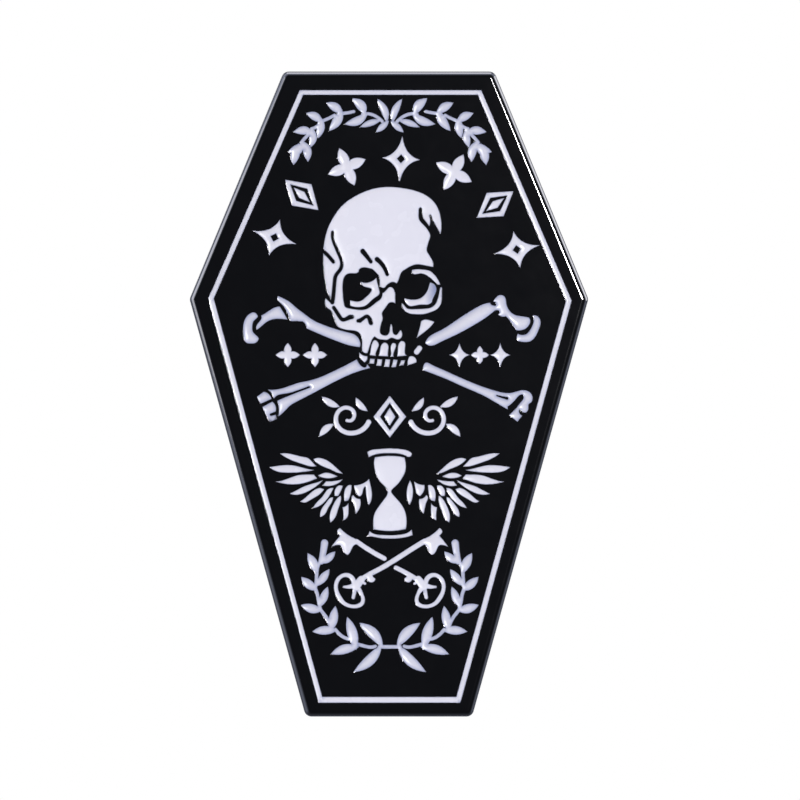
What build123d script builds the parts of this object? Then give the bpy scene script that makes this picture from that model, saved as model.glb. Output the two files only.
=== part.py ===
from build123d import *
import os
from math import cos, hypot, pi, sin

# A coffin-shaped soft-enamel pin, upright as it is worn: the face looks along
# -Y, the back along +Y, and +Z runs up the coffin. The origin is the centre of
# the flat back. All sizes are in millimetres.

# plate
plate_height = 38.0
shoulder_width = 23.5
top_width = 12.4
bottom_width = 9.8
shoulder_drop = 13.4
plate_thickness = 1.6
corner_radius = 0.45
front_rim_radius = 0.42
back_rim_radius = 0.12

# die-struck recesses and the enamel in them
recess_depth = 0.45
enamel_drop = 0.12
thin_line = 0.22

# nail posts, set in shallow rounds in the back
post_spacing = 18.0
post_diameter = 1.1
post_length = 8.0
post_tip = 0.8
groove_diameter = 0.7
groove_start = 5.5
groove_length = 0.7
pad_diameter = 4.0
pad_thickness = 0.4
pad_sink = 0.2
solder_width = 0.35

# butterfly clutches
clutch_gap = 2.3
clutch_diameter = 11.4
disc_sheet = 0.3
rim_height = 1.05
rim_lip = 0.75
hole_clearance = 0.15
leaf_sheet = 0.25
leaf_gap = 0.03
leaf_width = 6.6
jaw_clearance = 0.05
jaw_width = 1.7
jaw_foot = 0.35
hinge_height = 2.0
hinge_offset = 1.35
leg_width = 0.9
wing_rise = 4.35
wing_reach = 4.7
wing_width = 6.9
wing_root_width = 5.6

os.makedirs("parts", exist_ok=True)


def finish(piece, name):
    """Labels a finished piece and writes its file."""
    piece.part.label = name
    export_step(piece.part, f"parts/{name}.step")


# The drawing's points are given on a plate of the sizes below, and scale with
# the plate, so the drawing always fits inside the border line.
wide = min(shoulder_width / 23.5, top_width / 12.4, bottom_width / 9.8)
tall = plate_height / 38.0
drawing_axis = 0.05
enamel_fill = recess_depth - enamel_drop
recess_floor = Plane.XZ.offset(plate_thickness - recess_depth)


def at(x, z, side=1):
    """A point of the drawing. Side -1 mirrors it about the drawing's axis."""
    return ((x if side > 0 else 2 * drawing_axis - x) * wide, z * tall)


def cell(*stretches, side=1, mode=Mode.ADD):
    """A closed area. Each stretch is a line or a smooth curve, with corners between."""
    with BuildLine() as edge:
        for stretch in stretches:
            points = [at(x, z, side) for x, z in stretch]
            if len(points) == 2:
                Line(*points)
            else:
                Spline(*points)
    make_face(edge.edges(), mode=mode)


def ring_cell(points, side=1, mode=Mode.ADD):
    """A closed area with a smooth outline and no corner."""
    with BuildLine() as edge:
        Spline(*[at(x, z, side) for x, z in points], periodic=True)
    make_face(edge.edges(), mode=mode)


def stroke(points, width=thin_line, end_width=None, side=1, mode=Mode.ADD):
    """A line of some width with round ends, along a smooth path of points."""
    path = [at(x, z, side) for x, z in points]
    end_width = width if end_width is None else end_width
    last = len(path) - 1
    left, right, tips = [], [], []
    for i, (x, z) in enumerate(path):
        x0, z0 = path[max(i - 1, 0)]
        x1, z1 = path[min(i + 1, last)]
        half = (width + (end_width - width) * i / last) / 2
        scale = half / hypot(x1 - x0, z1 - z0)
        dx, dz = (x1 - x0) * scale, (z1 - z0) * scale
        left.append((x - dz, z + dx))
        right.append((x + dz, z - dx))
        tips.append(((x - dx, z - dz), (x + dx, z + dz)))
    with BuildLine() as edge:
        if last == 1:
            Line(*left)
            Line(*right)
        else:
            Spline(*left)
            Spline(*right)
        ThreePointArc(left[last], tips[last][1], right[last])
        ThreePointArc(right[0], tips[0][0], left[0])
    make_face(edge.edges(), mode=mode)


def leaf(base, tip, width, bend=0.0, side=1):
    """A pointed leaf from base to tip, bowed to its left by bend."""
    (x0, z0), (x1, z1) = at(*base, side), at(*tip, side)
    length = hypot(x1 - x0, z1 - z0)
    nx, nz = -(z1 - z0) / length * side, (x1 - x0) / length * side
    mid = (0.55 * x0 + 0.45 * x1 + nx * bend, 0.55 * z0 + 0.45 * z1 + nz * bend)
    with BuildLine() as edge:
        Spline((x0, z0), (mid[0] + nx * width / 2, mid[1] + nz * width / 2), (x1, z1))
        Spline((x0, z0), (mid[0] - nx * width / 2, mid[1] - nz * width / 2), (x1, z1))
    make_face(edge.edges())


# ---------------------------------------------------------------- the drawing

# the coffin's outline, and the white line that follows it
half_top, half_bottom = top_width / 2, bottom_width / 2
half_shoulder, half_height = shoulder_width / 2, plate_height / 2
shoulder_z = half_height - shoulder_drop
outline = [
    (-half_top, half_height),
    (half_top, half_height),
    (half_shoulder, shoulder_z),
    (half_bottom, -half_height),
    (-half_bottom, -half_height),
    (-half_shoulder, shoulder_z),
]

# how far in each corner of the white line lies from the coffin's, outside and inside
line_outside = [(0.96, -1.13), (-0.77, -1.13), (-1.01, -0.1), (-0.71, 0.85), (0.77, 0.85), (1.13, 0.05)]
line_inside = [(1.15, -1.39), (-0.97, -1.39), (-1.32, -0.1), (-0.93, 1.18), (0.97, 1.18), (1.43, 0.02)]


def set_in(corners):
    return [(x + dx, z + dz) for (x, z), (dx, dz) in zip(outline, corners)]


with BuildSketch(recess_floor) as border_art:
    Polygon(*set_in(line_outside), align=None)
    Polygon(*set_in(line_inside), align=None, mode=Mode.SUBTRACT)

# upper laurel: two sprigs that meet over the skull
upper_leaves = [
    ((-5.05, 14.75), (-5.93, 14.25), 0.57, 0.16),
    ((-5.3, 14.75), (-5.62, 13.48), 0.52, -0.05),
    ((-5.1, 14.9), (-4.76, 13.66), 0.5, 0.12),
    ((-4.45, 15.4), (-5.62, 15.42), 0.48, -0.1),
    ((-4.5, 15.65), (-4.62, 14.5), 0.43, 0.1),
    ((-3.92, 16.0), (-4.86, 16.53), 0.48, -0.08),
    ((-4.0, 16.3), (-4.16, 15.05), 0.46, 0.06),
    ((-2.72, 16.5), (-3.68, 17.14), 0.5, -0.07),
    ((-2.75, 16.75), (-3.52, 15.48), 0.52, 0.1),
    ((-1.38, 16.42), (-2.15, 17.4), 0.55, -0.14),
    ((-1.25, 16.5), (-2.62, 15.88), 0.5, 0.14),
    ((-0.12, 15.95), (-0.68, 17.37), 0.42, -0.14),
    ((-0.45, 16.12), (-1.7, 15.7), 0.36, -0.04),
    ((0.0, 16.08), (-0.75, 15.4), 0.36, 0.0),
]
upper_stems = [
    [(-5.15, 14.8), (-4.95, 15.05), (-4.62, 15.35)],
    [(-4.55, 15.6), (-4.3, 15.7), (-4.1, 15.85)],
    [(-3.95, 16.05), (-3.7, 16.15), (-3.2, 16.4)],
    [(-2.8, 16.5), (-2.4, 16.55), (-2.08, 16.62)],
    [(-1.55, 16.45), (-1.15, 16.48), (-0.75, 16.33), (-0.4, 16.05)],
]
upper_laurels = {}
for side, hand in ((1, "left"), (-1, "right")):
    with BuildSketch(recess_floor) as sprig:
        for base, tip, width, bend in upper_leaves:
            leaf(base, tip, width, bend, side)
        for path in upper_stems:
            stroke(path, 0.19, side=side)
    upper_laurels[hand] = sprig

# seven plain ornaments on an arc round the skull
arc_centre = (0.3, 7.3)
arc_radii = (7.35, 6.55)
arc_first, arc_step = 163.0, -25.4


def ornament_frame(k):
    """Where the arc's k-th ornament stands, as its centre and its own two axes."""
    a = (arc_first + arc_step * k) * pi / 180
    x = arc_centre[0] + arc_radii[0] * cos(a)
    z = arc_centre[1] + arc_radii[1] * sin(a)
    return x, z, (sin(a), -cos(a)), (cos(a), sin(a))


def turned(frame, u, v):
    """A point u along and v out from an ornament's centre."""
    x, z, along, out = frame
    return (x + u * along[0] + v * out[0], z + u * along[1] + v * out[1])


def star(frame, reach, waist, hole=0.0):
    """A four-pointed star with hollow sides, with a small island if it has a hole."""
    points = [(0, reach), (reach * 0.82, 0), (0, -reach), (-reach * 0.82, 0)]
    with BuildLine() as edge:
        for k in range(4):
            (u0, v0), (u1, v1) = points[k], points[(k + 1) % 4]
            side = ((u0, v0), ((u0 + u1) * waist, (v0 + v1) * waist), (u1, v1))
            Bezier(*[at(*turned(frame, u, v)) for u, v in side])
    make_face(edge.edges())
    if hole:
        cell(*lozenge_sides(frame, hole, hole), mode=Mode.SUBTRACT)


def lozenge_sides(frame, half_wide, half_tall):
    points = [(0, half_tall), (half_wide, 0), (0, -half_tall), (-half_wide, 0)]
    corners = [turned(frame, u, v) for u, v in points]
    return [[corners[k], corners[(k + 1) % 4]] for k in range(4)]


def lozenge(frame, half_wide, half_tall, line):
    """A lozenge-shaped frame with a small lozenge inside it."""
    cell(*lozenge_sides(frame, half_wide, half_tall))
    inner = (half_wide - 1.35 * line, half_tall - 1.5 * line)
    cell(*lozenge_sides(frame, *inner), mode=Mode.SUBTRACT)
    cell(*lozenge_sides(frame, inner[0] - line, inner[1] - 1.1 * line))


def quatrefoil(frame, reach, width):
    """Four leaves round a centre."""
    for u, v in ((0, 1), (1, 0), (0, -1), (-1, 0)):
        base = turned(frame, -0.12 * u * reach, -0.12 * v * reach)
        leaf(base, turned(frame, u * reach, v * reach), width)


with BuildSketch(recess_floor) as arc_art:
    for k in range(7):
        where = ornament_frame(k)
        if k in (1, 5):
            lozenge(where, 0.84, 1.32, 0.26)
        elif k in (2, 4):
            quatrefoil(where, 1.18, 0.62)
        else:
            star(where, 1.35, 0.16, 0.26)

# the skull, seen three-quarters, with its right side broken away
with BuildSketch(recess_floor) as skull_art:
    cell(
        [
            (-3.43, 5.68), (-3.6, 6.05), (-3.72, 6.6), (-3.8, 7.2), (-3.86, 8.0),
            (-3.84, 8.6), (-3.75, 9.2), (-3.55, 9.85), (-3.2, 10.5), (-2.7, 11.13),
            (-2.0, 11.63), (-1.0, 12.05), (0.0, 12.18), (1.0, 12.08), (1.8, 11.87),
            (2.5, 11.45), (2.87, 10.95), (3.03, 10.4), (3.08, 9.9), (3.03, 9.42),
        ],
        [(3.03, 9.42), (2.8, 9.87), (2.6, 10.25), (2.5, 10.5)],
        [(2.5, 10.5), (2.43, 10.57), (2.36, 10.47)],
        [(2.36, 10.47), (2.42, 10.2), (2.37, 9.88)],
        [(2.37, 9.88), (2.17, 10.15), (2.02, 10.38), (1.98, 10.6), (1.97, 10.88)],
        [(1.97, 10.88), (1.86, 10.99), (1.74, 10.88)],
        [
            (1.74, 10.88), (1.73, 10.55), (1.77, 10.28), (1.92, 10.06), (2.1, 9.88),
            (2.3, 9.62), (2.42, 9.33), (2.35, 9.05), (2.25, 8.72), (2.22, 8.45),
            (2.35, 8.2), (2.52, 7.92), (2.59, 7.48),
        ],
        [
            (2.59, 7.48), (2.35, 7.53), (2.0, 7.6), (1.7, 7.64), (1.4, 7.58),
            (1.0, 7.38), (0.72, 7.15), (0.58, 6.8), (0.42, 6.46),
        ],
        [(0.42, 6.46), (0.36, 5.9), (0.37, 5.33)],
        [
            (0.37, 5.33), (0.2, 5.41), (0.03, 5.38), (-0.15, 5.18), (-0.33, 4.93),
            (-0.42, 4.74), (-0.38, 4.5), (-0.45, 4.2), (-0.53, 3.85), (-0.5, 3.57),
            (-0.33, 3.45), (-0.1, 3.46), (0.02, 3.62), (0.06, 3.85), (0.13, 4.12),
        ],
        [(0.13, 4.12), (0.2, 3.8), (0.28, 3.53), (0.42, 3.47), (0.55, 3.58), (0.69, 3.76)],
        [
            (0.69, 3.76), (0.77, 3.5), (0.7, 3.3), (0.5, 3.22), (0.3, 3.28),
            (0.1, 3.31), (-0.05, 3.22), (-0.3, 3.2), (-0.55, 3.23), (-0.83, 3.4),
        ],
        [(-0.83, 3.4), (-0.98, 3.25), (-1.1, 2.95), (-1.2, 2.65), (-1.27, 2.42)],
        [(-1.27, 2.42), (-1.45, 2.44), (-1.57, 2.55)],
        [
            (-1.57, 2.55), (-1.57, 2.9), (-1.58, 3.3), (-1.72, 3.58), (-1.95, 3.72),
            (-2.3, 3.76), (-2.65, 3.82), (-3.0, 3.97),
        ],
        [
            (-3.0, 3.97), (-3.15, 4.3), (-3.27, 4.65), (-3.42, 4.93), (-3.62, 5.08),
            (-3.75, 5.35), (-3.72, 5.63),
        ],
        [(-3.72, 5.63), (-3.55, 5.45), (-3.38, 5.3)],
        [(-3.38, 5.3), (-3.43, 5.68)],
    )
    # left eye socket
    cell(
        [
            (-1.78, 7.2), (-1.74, 7.36), (-1.55, 7.45), (-1.2, 7.42), (-0.98, 7.36),
            (-0.75, 7.15), (-0.58, 6.95), (-0.53, 6.6), (-0.5, 6.3), (-0.38, 6.05),
            (-0.38, 5.85), (-0.46, 5.62), (-0.7, 5.42), (-1.0, 5.18), (-1.25, 5.02),
            (-1.5, 4.95), (-2.0, 4.97), (-2.35, 5.03), (-2.58, 5.13), (-2.66, 5.35),
            (-2.72, 5.8), (-2.74, 6.2), (-2.72, 6.6), (-2.62, 6.92), (-2.45, 7.07),
            (-2.15, 7.11), (-1.9, 7.12),
        ],
        [(-1.9, 7.12), (-1.78, 7.2)],
        mode=Mode.SUBTRACT,
    )
    # the line across the bridge of the nose
    cell(
        [(-0.56, 6.37), (-0.42, 6.27), (-0.3, 6.25), (-0.15, 6.39), (0.0, 6.52), (0.5, 6.49)],
        [(0.5, 6.49), (0.5, 5.99)],
        [(0.5, 5.99), (0.33, 5.99)],
        [(0.33, 5.99), (0.29, 6.14), (0.2, 6.25), (0.08, 6.29), (-0.05, 6.22), (-0.45, 5.95)],
        [(-0.45, 5.95), (-0.56, 6.37)],
        mode=Mode.SUBTRACT,
    )
    # lines on the temple, brow and cheek
    stroke(
        [
            (-3.31, 9.52), (-3.29, 9.1), (-3.12, 8.65), (-2.88, 8.1), (-2.77, 7.65),
            (-2.87, 7.32), (-3.12, 6.98), (-3.2, 6.6), (-3.25, 6.0), (-3.33, 5.39),
        ],
        0.2, 0.24, mode=Mode.SUBTRACT,
    )
    stroke([(-3.95, 8.5), (-3.6, 8.16), (-3.27, 7.78)], mode=Mode.SUBTRACT)
    stroke([(-1.54, 8.4), (-1.3, 8.1), (-1.06, 7.78)], 0.3, 0.21, mode=Mode.SUBTRACT)
    stroke(
        [(-0.7, 7.93), (-0.42, 7.66), (-0.22, 7.35), (-0.1, 7.05)],
        0.28, 0.22, mode=Mode.SUBTRACT,
    )
    stroke(
        [(-3.25, 5.09), (-3.08, 4.83), (-2.9, 4.55), (-2.73, 4.38), (-2.5, 4.43), (-2.17, 4.54)],
        0.21, 0.25, mode=Mode.SUBTRACT,
    )
    stroke(
        [(-1.81, 4.31), (-1.55, 4.43), (-1.28, 4.56), (-1.14, 4.42), (-1.06, 4.18)],
        0.22, 0.26, mode=Mode.SUBTRACT,
    )

with BuildSketch(recess_floor) as left_glint_art:
    cell(
        [(-1.65, 6.6), (-1.35, 6.54), (-1.02, 6.62), (-0.74, 6.84)],
        [
            (-0.74, 6.84), (-0.68, 6.5), (-0.59, 6.15), (-0.57, 5.9), (-0.8, 5.7),
            (-1.1, 5.45), (-1.4, 5.2), (-1.75, 5.12), (-2.05, 5.14), (-2.25, 5.2),
        ],
        [(-2.25, 5.2), (-2.29, 5.51)],
        [
            (-2.29, 5.51), (-2.1, 5.46), (-1.85, 5.43), (-1.6, 5.5), (-1.35, 5.7),
            (-1.08, 5.97), (-1.02, 6.18), (-1.2, 6.26), (-1.45, 6.33), (-1.65, 6.6),
        ],
    )

with BuildSketch(recess_floor) as right_brow_art:
    cell(
        [(1.36, 7.29), (1.7, 7.34), (2.05, 7.32), (2.4, 7.24), (2.62, 7.08), (2.82, 6.83), (3.02, 6.44)],
        [(3.02, 6.44), (2.87, 6.44)],
        [(2.87, 6.44), (2.6, 6.7), (2.35, 6.91), (2.1, 7.05), (1.82, 7.1), (1.55, 7.05), (1.36, 7.13)],
        [(1.36, 7.13), (1.36, 7.29)],
    )

with BuildSketch(recess_floor) as right_glint_art:
    cell(
        [(2.42, 6.55), (2.53, 6.53), (2.72, 6.38), (2.78, 6.2), (2.68, 5.85), (2.52, 5.42)],
        [(2.52, 5.42), (2.3, 5.28), (1.9, 5.27), (1.5, 5.2), (1.2, 5.19), (1.06, 5.3), (0.92, 5.64)],
        [
            (0.92, 5.64), (1.2, 5.56), (1.55, 5.55), (1.85, 5.63), (2.1, 5.83),
            (2.27, 6.08), (2.36, 6.35), (2.42, 6.55),
        ],
    )

with BuildSketch(recess_floor) as right_rim_art:
    cell(
        [
            (3.02, 6.27), (2.97, 6.0), (2.88, 5.6), (2.73, 5.28), (2.5, 5.09),
            (2.2, 5.02), (1.7, 5.0), (1.25, 4.99), (1.06, 5.04), (0.93, 5.18), (0.75, 5.34),
        ],
        [
            (0.75, 5.34), (0.83, 5.06), (0.97, 4.87), (1.2, 4.75), (1.6, 4.7),
            (2.1, 4.72), (2.5, 4.84), (2.82, 5.0), (3.02, 5.25), (3.1, 5.6), (3.12, 6.27),
        ],
        [(3.12, 6.27), (3.02, 6.27)],
    )

with BuildSketch(recess_floor) as chips_art:
    cell(
        [(1.9, 4.28), (2.1, 4.37), (2.4, 4.34), (2.66, 4.24)],
        [(2.66, 4.24), (2.5, 4.03), (2.1, 3.67), (1.65, 3.32)],
        [(1.65, 3.32), (1.78, 3.75), (1.9, 4.28)],
    )
    stroke([(1.63, 2.48), (1.72, 2.6), (1.79, 2.69)], 0.31)
    cell(
        [(1.12, 1.7), (1.11, 1.95), (1.2, 2.19)],
        [(1.2, 2.19), (1.46, 2.19), (1.6, 2.02), (1.6, 1.86)],
        [(1.6, 1.86), (1.12, 1.7)],
    )

upper_teeth = [
    [(-1.13, 2.3), (-1.05, 2.72), (-0.96, 3.03), (-0.84, 3.16), (-0.63, 3.0), (-0.72, 2.6), (-0.78, 2.25)],
    [(-0.6, 2.25), (-0.52, 2.6), (-0.4, 2.94), (-0.27, 3.02), (-0.1, 2.95), (-0.05, 2.6), (-0.06, 2.23)],
    [(0.1, 2.24), (0.13, 2.55), (0.13, 2.84), (0.26, 3.0), (0.36, 2.97), (0.33, 2.6), (0.3, 2.18)],
    [(0.48, 2.22), (0.53, 2.6), (0.6, 2.98), (0.74, 3.11), (0.88, 3.08), (0.94, 2.75), (1.05, 2.27)],
]
with BuildSketch(recess_floor) as upper_teeth_art:
    for tooth in upper_teeth:
        cell(tooth, [tooth[-1], tooth[0]])

lower_teeth = [
    [(-1.15, 1.8), (-1.09, 2.08), (-0.85, 2.06), (-0.88, 1.79)],
    [(-0.71, 1.68), (-0.67, 2.06), (-0.4, 2.03), (-0.46, 1.66)],
    [(-0.26, 1.62), (-0.2, 2.05), (0.07, 2.02), (0.0, 1.6)],
    [(0.17, 1.58), (0.27, 2.03), (0.5, 2.0), (0.4, 1.6)],
    [(0.62, 1.68), (0.72, 1.97), (0.95, 2.0), (0.86, 1.7)],
]
with BuildSketch(recess_floor) as lower_teeth_art:
    for tooth in lower_teeth:
        cell(*[[tooth[k], tooth[(k + 1) % 4]] for k in range(4)])
    cell(
        [(-1.75, 2.46), (-1.58, 2.3), (-1.28, 2.22)],
        [(-1.28, 2.22), (-1.32, 1.98), (-1.44, 1.87)],
        [(-1.44, 1.87), (-1.62, 2.06), (-1.75, 2.46)],
    )

# crossed bones with splintered ends
with BuildSketch(recess_floor) as bone_upper_left_art:
    cell(
        [(-6.53, 5.77), (-6.2, 5.62), (-5.85, 5.42), (-5.4, 5.03), (-5.0, 4.73), (-4.5, 4.36),
         (-4.0, 4.12), (-3.0, 3.77), (-2.4, 3.62), (-2.0, 3.48), (-1.78, 3.25), (-1.72, 2.77)],
        [(-1.72, 2.77), (-2.2, 2.84), (-3.0, 3.1), (-4.0, 3.5), (-4.83, 3.86)],
        [(-4.83, 3.86), (-4.9, 4.1), (-5.08, 4.28)],
        [(-5.08, 4.28), (-5.4, 4.3), (-5.78, 4.3)],
        [(-5.78, 4.3), (-5.86, 4.55), (-6.05, 4.95), (-6.28, 5.27), (-6.5, 5.5), (-6.53, 5.77)],
    )
    cell(
        [(-7.76, 3.8), (-7.78, 4.02), (-7.52, 4.38), (-7.5, 4.62)],
        [(-7.5, 4.62), (-7.1, 4.86), (-6.72, 5.08), (-6.42, 5.14)],
        [(-6.42, 5.14), (-6.22, 4.82), (-5.98, 4.38)],
        [(-5.98, 4.38), (-6.4, 4.44), (-6.85, 4.4), (-7.2, 4.25), (-7.5, 4.0), (-7.76, 3.8)],
    )
    ring_cell(
        [(-7.74, 4.62), (-7.95, 4.8), (-8.25, 4.67), (-8.48, 4.35), (-8.57, 3.9), (-8.53, 3.35),
         (-8.4, 3.04), (-8.1, 2.98), (-7.8, 3.05), (-7.68, 3.28), (-7.84, 3.47), (-8.02, 3.68),
         (-8.05, 4.0), (-7.98, 4.28), (-7.8, 4.46)],
    )

with BuildSketch(recess_floor) as bone_lower_left_art:
    cell(
        [(-7.12, 0.26), (-6.5, 0.28), (-6.0, 0.42), (-5.3, 0.66), (-4.6, 0.8), (-4.0, 1.0),
         (-3.0, 1.46), (-2.4, 1.76), (-1.9, 2.03)],
        [(-1.9, 2.03), (-1.77, 1.8), (-1.6, 1.62), (-1.42, 1.56), (-1.28, 1.76)],
        [(-1.28, 1.76), (-1.12, 1.54)],
        [(-1.12, 1.54), (-1.5, 1.44), (-2.0, 1.28), (-2.6, 1.03), (-3.5, 0.58), (-4.3, 0.15),
         (-4.9, -0.16), (-5.4, -0.42), (-5.8, -0.65), (-6.1, -0.95), (-6.5, -1.3)],
        [(-6.5, -1.3), (-6.46, -0.85), (-6.56, -0.4)],
        [(-6.56, -0.4), (-6.0, -0.15), (-5.3, 0.12), (-4.7, 0.35)],
        [(-4.7, 0.35), (-4.62, 0.42), (-4.72, 0.47)],
        [(-4.72, 0.47), (-5.4, 0.22), (-6.0, 0.05), (-6.5, -0.04), (-6.78, -0.26)],
        [(-6.78, -0.26), (-6.86, 0.0), (-7.12, 0.26)],
    )
    cell(
        [(-7.76, -0.16), (-7.36, 0.13)],
        [(-7.36, 0.13), (-7.1, 0.02), (-6.92, -0.28)],
        [(-6.92, -0.28), (-7.55, -0.56)],
        [(-7.55, -0.56), (-7.76, -0.16)],
    )
    cell(
        [(-7.44, -0.77), (-6.86, -0.45)],
        [(-6.86, -0.45), (-6.7, -0.65), (-6.67, -1.02)],
        [(-6.67, -1.02), (-6.96, -1.13)],
        [(-6.96, -1.13), (-7.02, -1.23), (-6.93, -1.29)],
        [(-6.93, -1.29), (-6.66, -1.22)],
        [(-6.66, -1.22), (-6.6, -1.46)],
        [(-6.6, -1.46), (-7.0, -1.64)],
        [(-7.0, -1.64), (-7.44, -0.77)],
    )

with BuildSketch(recess_floor) as bone_upper_right_art:
    cell(
        [(2.15, 3.03), (2.32, 3.32), (3.0, 3.72), (4.0, 4.36), (5.0, 5.0), (5.55, 5.28), (5.95, 5.37)],
        [(5.95, 5.37), (6.08, 5.22), (6.3, 5.22), (6.3, 5.36), (6.14, 5.44)],
        [(6.14, 5.44), (6.28, 5.66), (6.55, 5.82), (6.8, 5.72), (6.88, 5.4), (7.0, 5.03),
         (7.2, 4.78), (7.5, 4.62), (7.9, 4.56), (8.22, 4.5)],
        [(8.22, 4.5), (8.3, 4.35), (8.22, 4.05), (8.05, 3.87), (7.8, 3.77), (7.5, 3.76)],
        [(7.5, 3.76), (7.3, 4.05), (7.08, 4.38), (6.88, 4.58)],
        [(6.88, 4.58), (6.65, 4.57), (6.42, 4.68)],
        [(6.42, 4.68), (6.5, 4.88), (6.35, 4.95), (6.1, 4.82), (5.8, 4.58), (5.0, 4.07),
         (4.0, 3.52), (3.0, 3.05), (2.6, 2.87), (2.35, 2.86), (2.15, 3.03)],
    )
    cell(
        [(7.58, 3.55), (7.85, 3.47), (8.1, 3.53), (8.32, 3.78), (8.48, 4.1), (8.53, 4.38), (8.47, 4.62)],
        [(8.47, 4.62), (8.68, 4.6), (8.85, 4.45), (8.9, 4.15), (8.78, 3.75), (8.58, 3.35),
         (8.32, 3.12), (7.95, 3.07), (7.6, 3.12)],
        [(7.6, 3.12), (7.54, 3.25), (7.58, 3.55)],
    )

with BuildSketch(recess_floor) as bone_lower_right_art:
    cell(
        [(2.05, 1.4), (2.04, 1.68), (2.17, 1.84), (2.5, 1.73), (3.0, 1.5), (4.0, 1.05), (5.0, 0.62),
         (6.0, 0.26), (6.6, 0.1), (7.1, 0.05), (7.45, 0.13), (7.8, 0.22), (8.12, 0.19),
         (8.36, 0.02), (8.44, -0.22), (8.34, -0.5)],
        [(8.34, -0.5), (8.2, -0.62), (8.18, -0.9), (8.04, -1.08), (7.86, -1.04), (7.76, -0.88)],
        [(7.76, -0.88), (7.64, -1.0), (7.68, -1.14), (7.83, -1.26)],
        [(7.83, -1.26), (7.56, -1.62)],
        [(7.56, -1.62), (7.07, -1.25)],
        [(7.07, -1.25), (7.32, -1.0), (7.55, -0.76), (7.75, -0.5), (7.93, -0.22), (7.9, -0.04),
         (7.72, -0.04), (7.5, -0.24), (7.25, -0.52), (6.97, -0.72)],
        [(6.97, -0.72), (6.99, -0.9)],
        [(6.99, -0.9), (6.6, -0.68), (6.1, -0.38), (5.5, -0.05), (4.5, 0.38), (3.5, 0.84),
         (2.7, 1.16), (2.05, 1.4)],
    )
    stroke([(6.35, -0.09), (6.65, -0.18), (6.95, -0.25)], 0.09, 0.16, mode=Mode.SUBTRACT)

# small ornaments beside the jaw, and the larger one under it
with BuildSketch(recess_floor) as small_left_art:
    for x in (-5.95, -4.35):
        quatrefoil((x, 2.3, (1, 0), (0, 1)), 0.7, 0.42)

with BuildSketch(recess_floor) as small_right_art:
    for x in (4.15, 6.55):
        star((x, 2.3, (1, 0), (0, 1)), 0.72, 0.16)
    quatrefoil((5.35, 2.3, (1, 0), (0, 1)), 0.52, 0.34)

with BuildSketch(recess_floor) as scroll_art:
    lozenge((0.05, -1.33, (1, 0), (0, 1)), 0.95, 1.22, 0.27)
    for side in (1, -1):
        stroke(
            [(-1.2, -1.65), (-1.6, -2.12), (-2.2, -2.3), (-2.82, -2.1), (-3.12, -1.55),
             (-2.95, -1.0), (-2.45, -0.8), (-2.05, -1.1), (-2.15, -1.5), (-2.45, -1.55)],
            0.3, 0.2, side,
        )
        leaf((-1.25, -1.0), (-1.95, -0.2), 0.36, 0.1, side)
        leaf((-2.9, -0.75), (-3.95, -0.15), 0.4, 0.08, side)
        leaf((-3.25, -1.75), (-4.1, -2.5), 0.4, -0.08, side)

# the hourglass
with BuildSketch(recess_floor) as glass_cap_art:
    cell(
        [(-1.27, -3.42), (-1.1, -3.32), (-0.6, -3.24), (0.0, -3.2), (0.6, -3.23), (1.1, -3.33),
         (1.33, -3.48)],
        [(1.33, -3.48), (1.3, -3.62), (1.18, -3.69), (1.02, -3.63)],
        [(1.02, -3.63), (0.7, -3.52), (0.0, -3.47), (-0.65, -3.51), (-1.18, -3.7)],
        [(-1.18, -3.7), (-1.27, -3.42)],
    )

with BuildSketch(recess_floor) as glass_art:
    cell(
        [(-0.82, -3.72), (-0.4, -3.66), (0.05, -3.64), (0.5, -3.66), (0.92, -3.74)],
        [(0.92, -3.74), (0.98, -4.1), (0.96, -4.5), (0.79, -4.9), (0.5, -5.3), (0.22, -5.56),
         (0.13, -5.72), (0.2, -5.88), (0.5, -6.22), (0.83, -6.65), (0.99, -7.1), (1.03, -7.55),
         (0.98, -7.94)],
        [(0.98, -7.94), (0.5, -8.02), (0.05, -8.05), (-0.45, -8.02), (-0.9, -7.95)],
        [(-0.9, -7.95), (-0.92, -7.5), (-0.83, -7.0), (-0.58, -6.6), (-0.3, -6.22), (-0.1, -5.93),
         (-0.07, -5.72), (-0.15, -5.53), (-0.48, -5.17), (-0.73, -4.72), (-0.85, -4.3),
         (-0.87, -3.98), (-0.82, -3.72)],
    )

with BuildSketch(recess_floor) as glass_foot_art:
    cell(
        [(-1.13, -8.07), (-0.95, -8.2), (-0.5, -8.29), (0.0, -8.31), (0.6, -8.28), (1.08, -8.17),
         (1.34, -7.97)],
        [(1.34, -7.97), (1.38, -8.3)],
        [(1.38, -8.3), (1.0, -8.41), (0.4, -8.49), (0.0, -8.5), (-0.5, -8.47), (-0.95, -8.38),
         (-1.24, -8.35)],
        [(-1.24, -8.35), (-1.13, -8.07)],
    )

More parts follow.
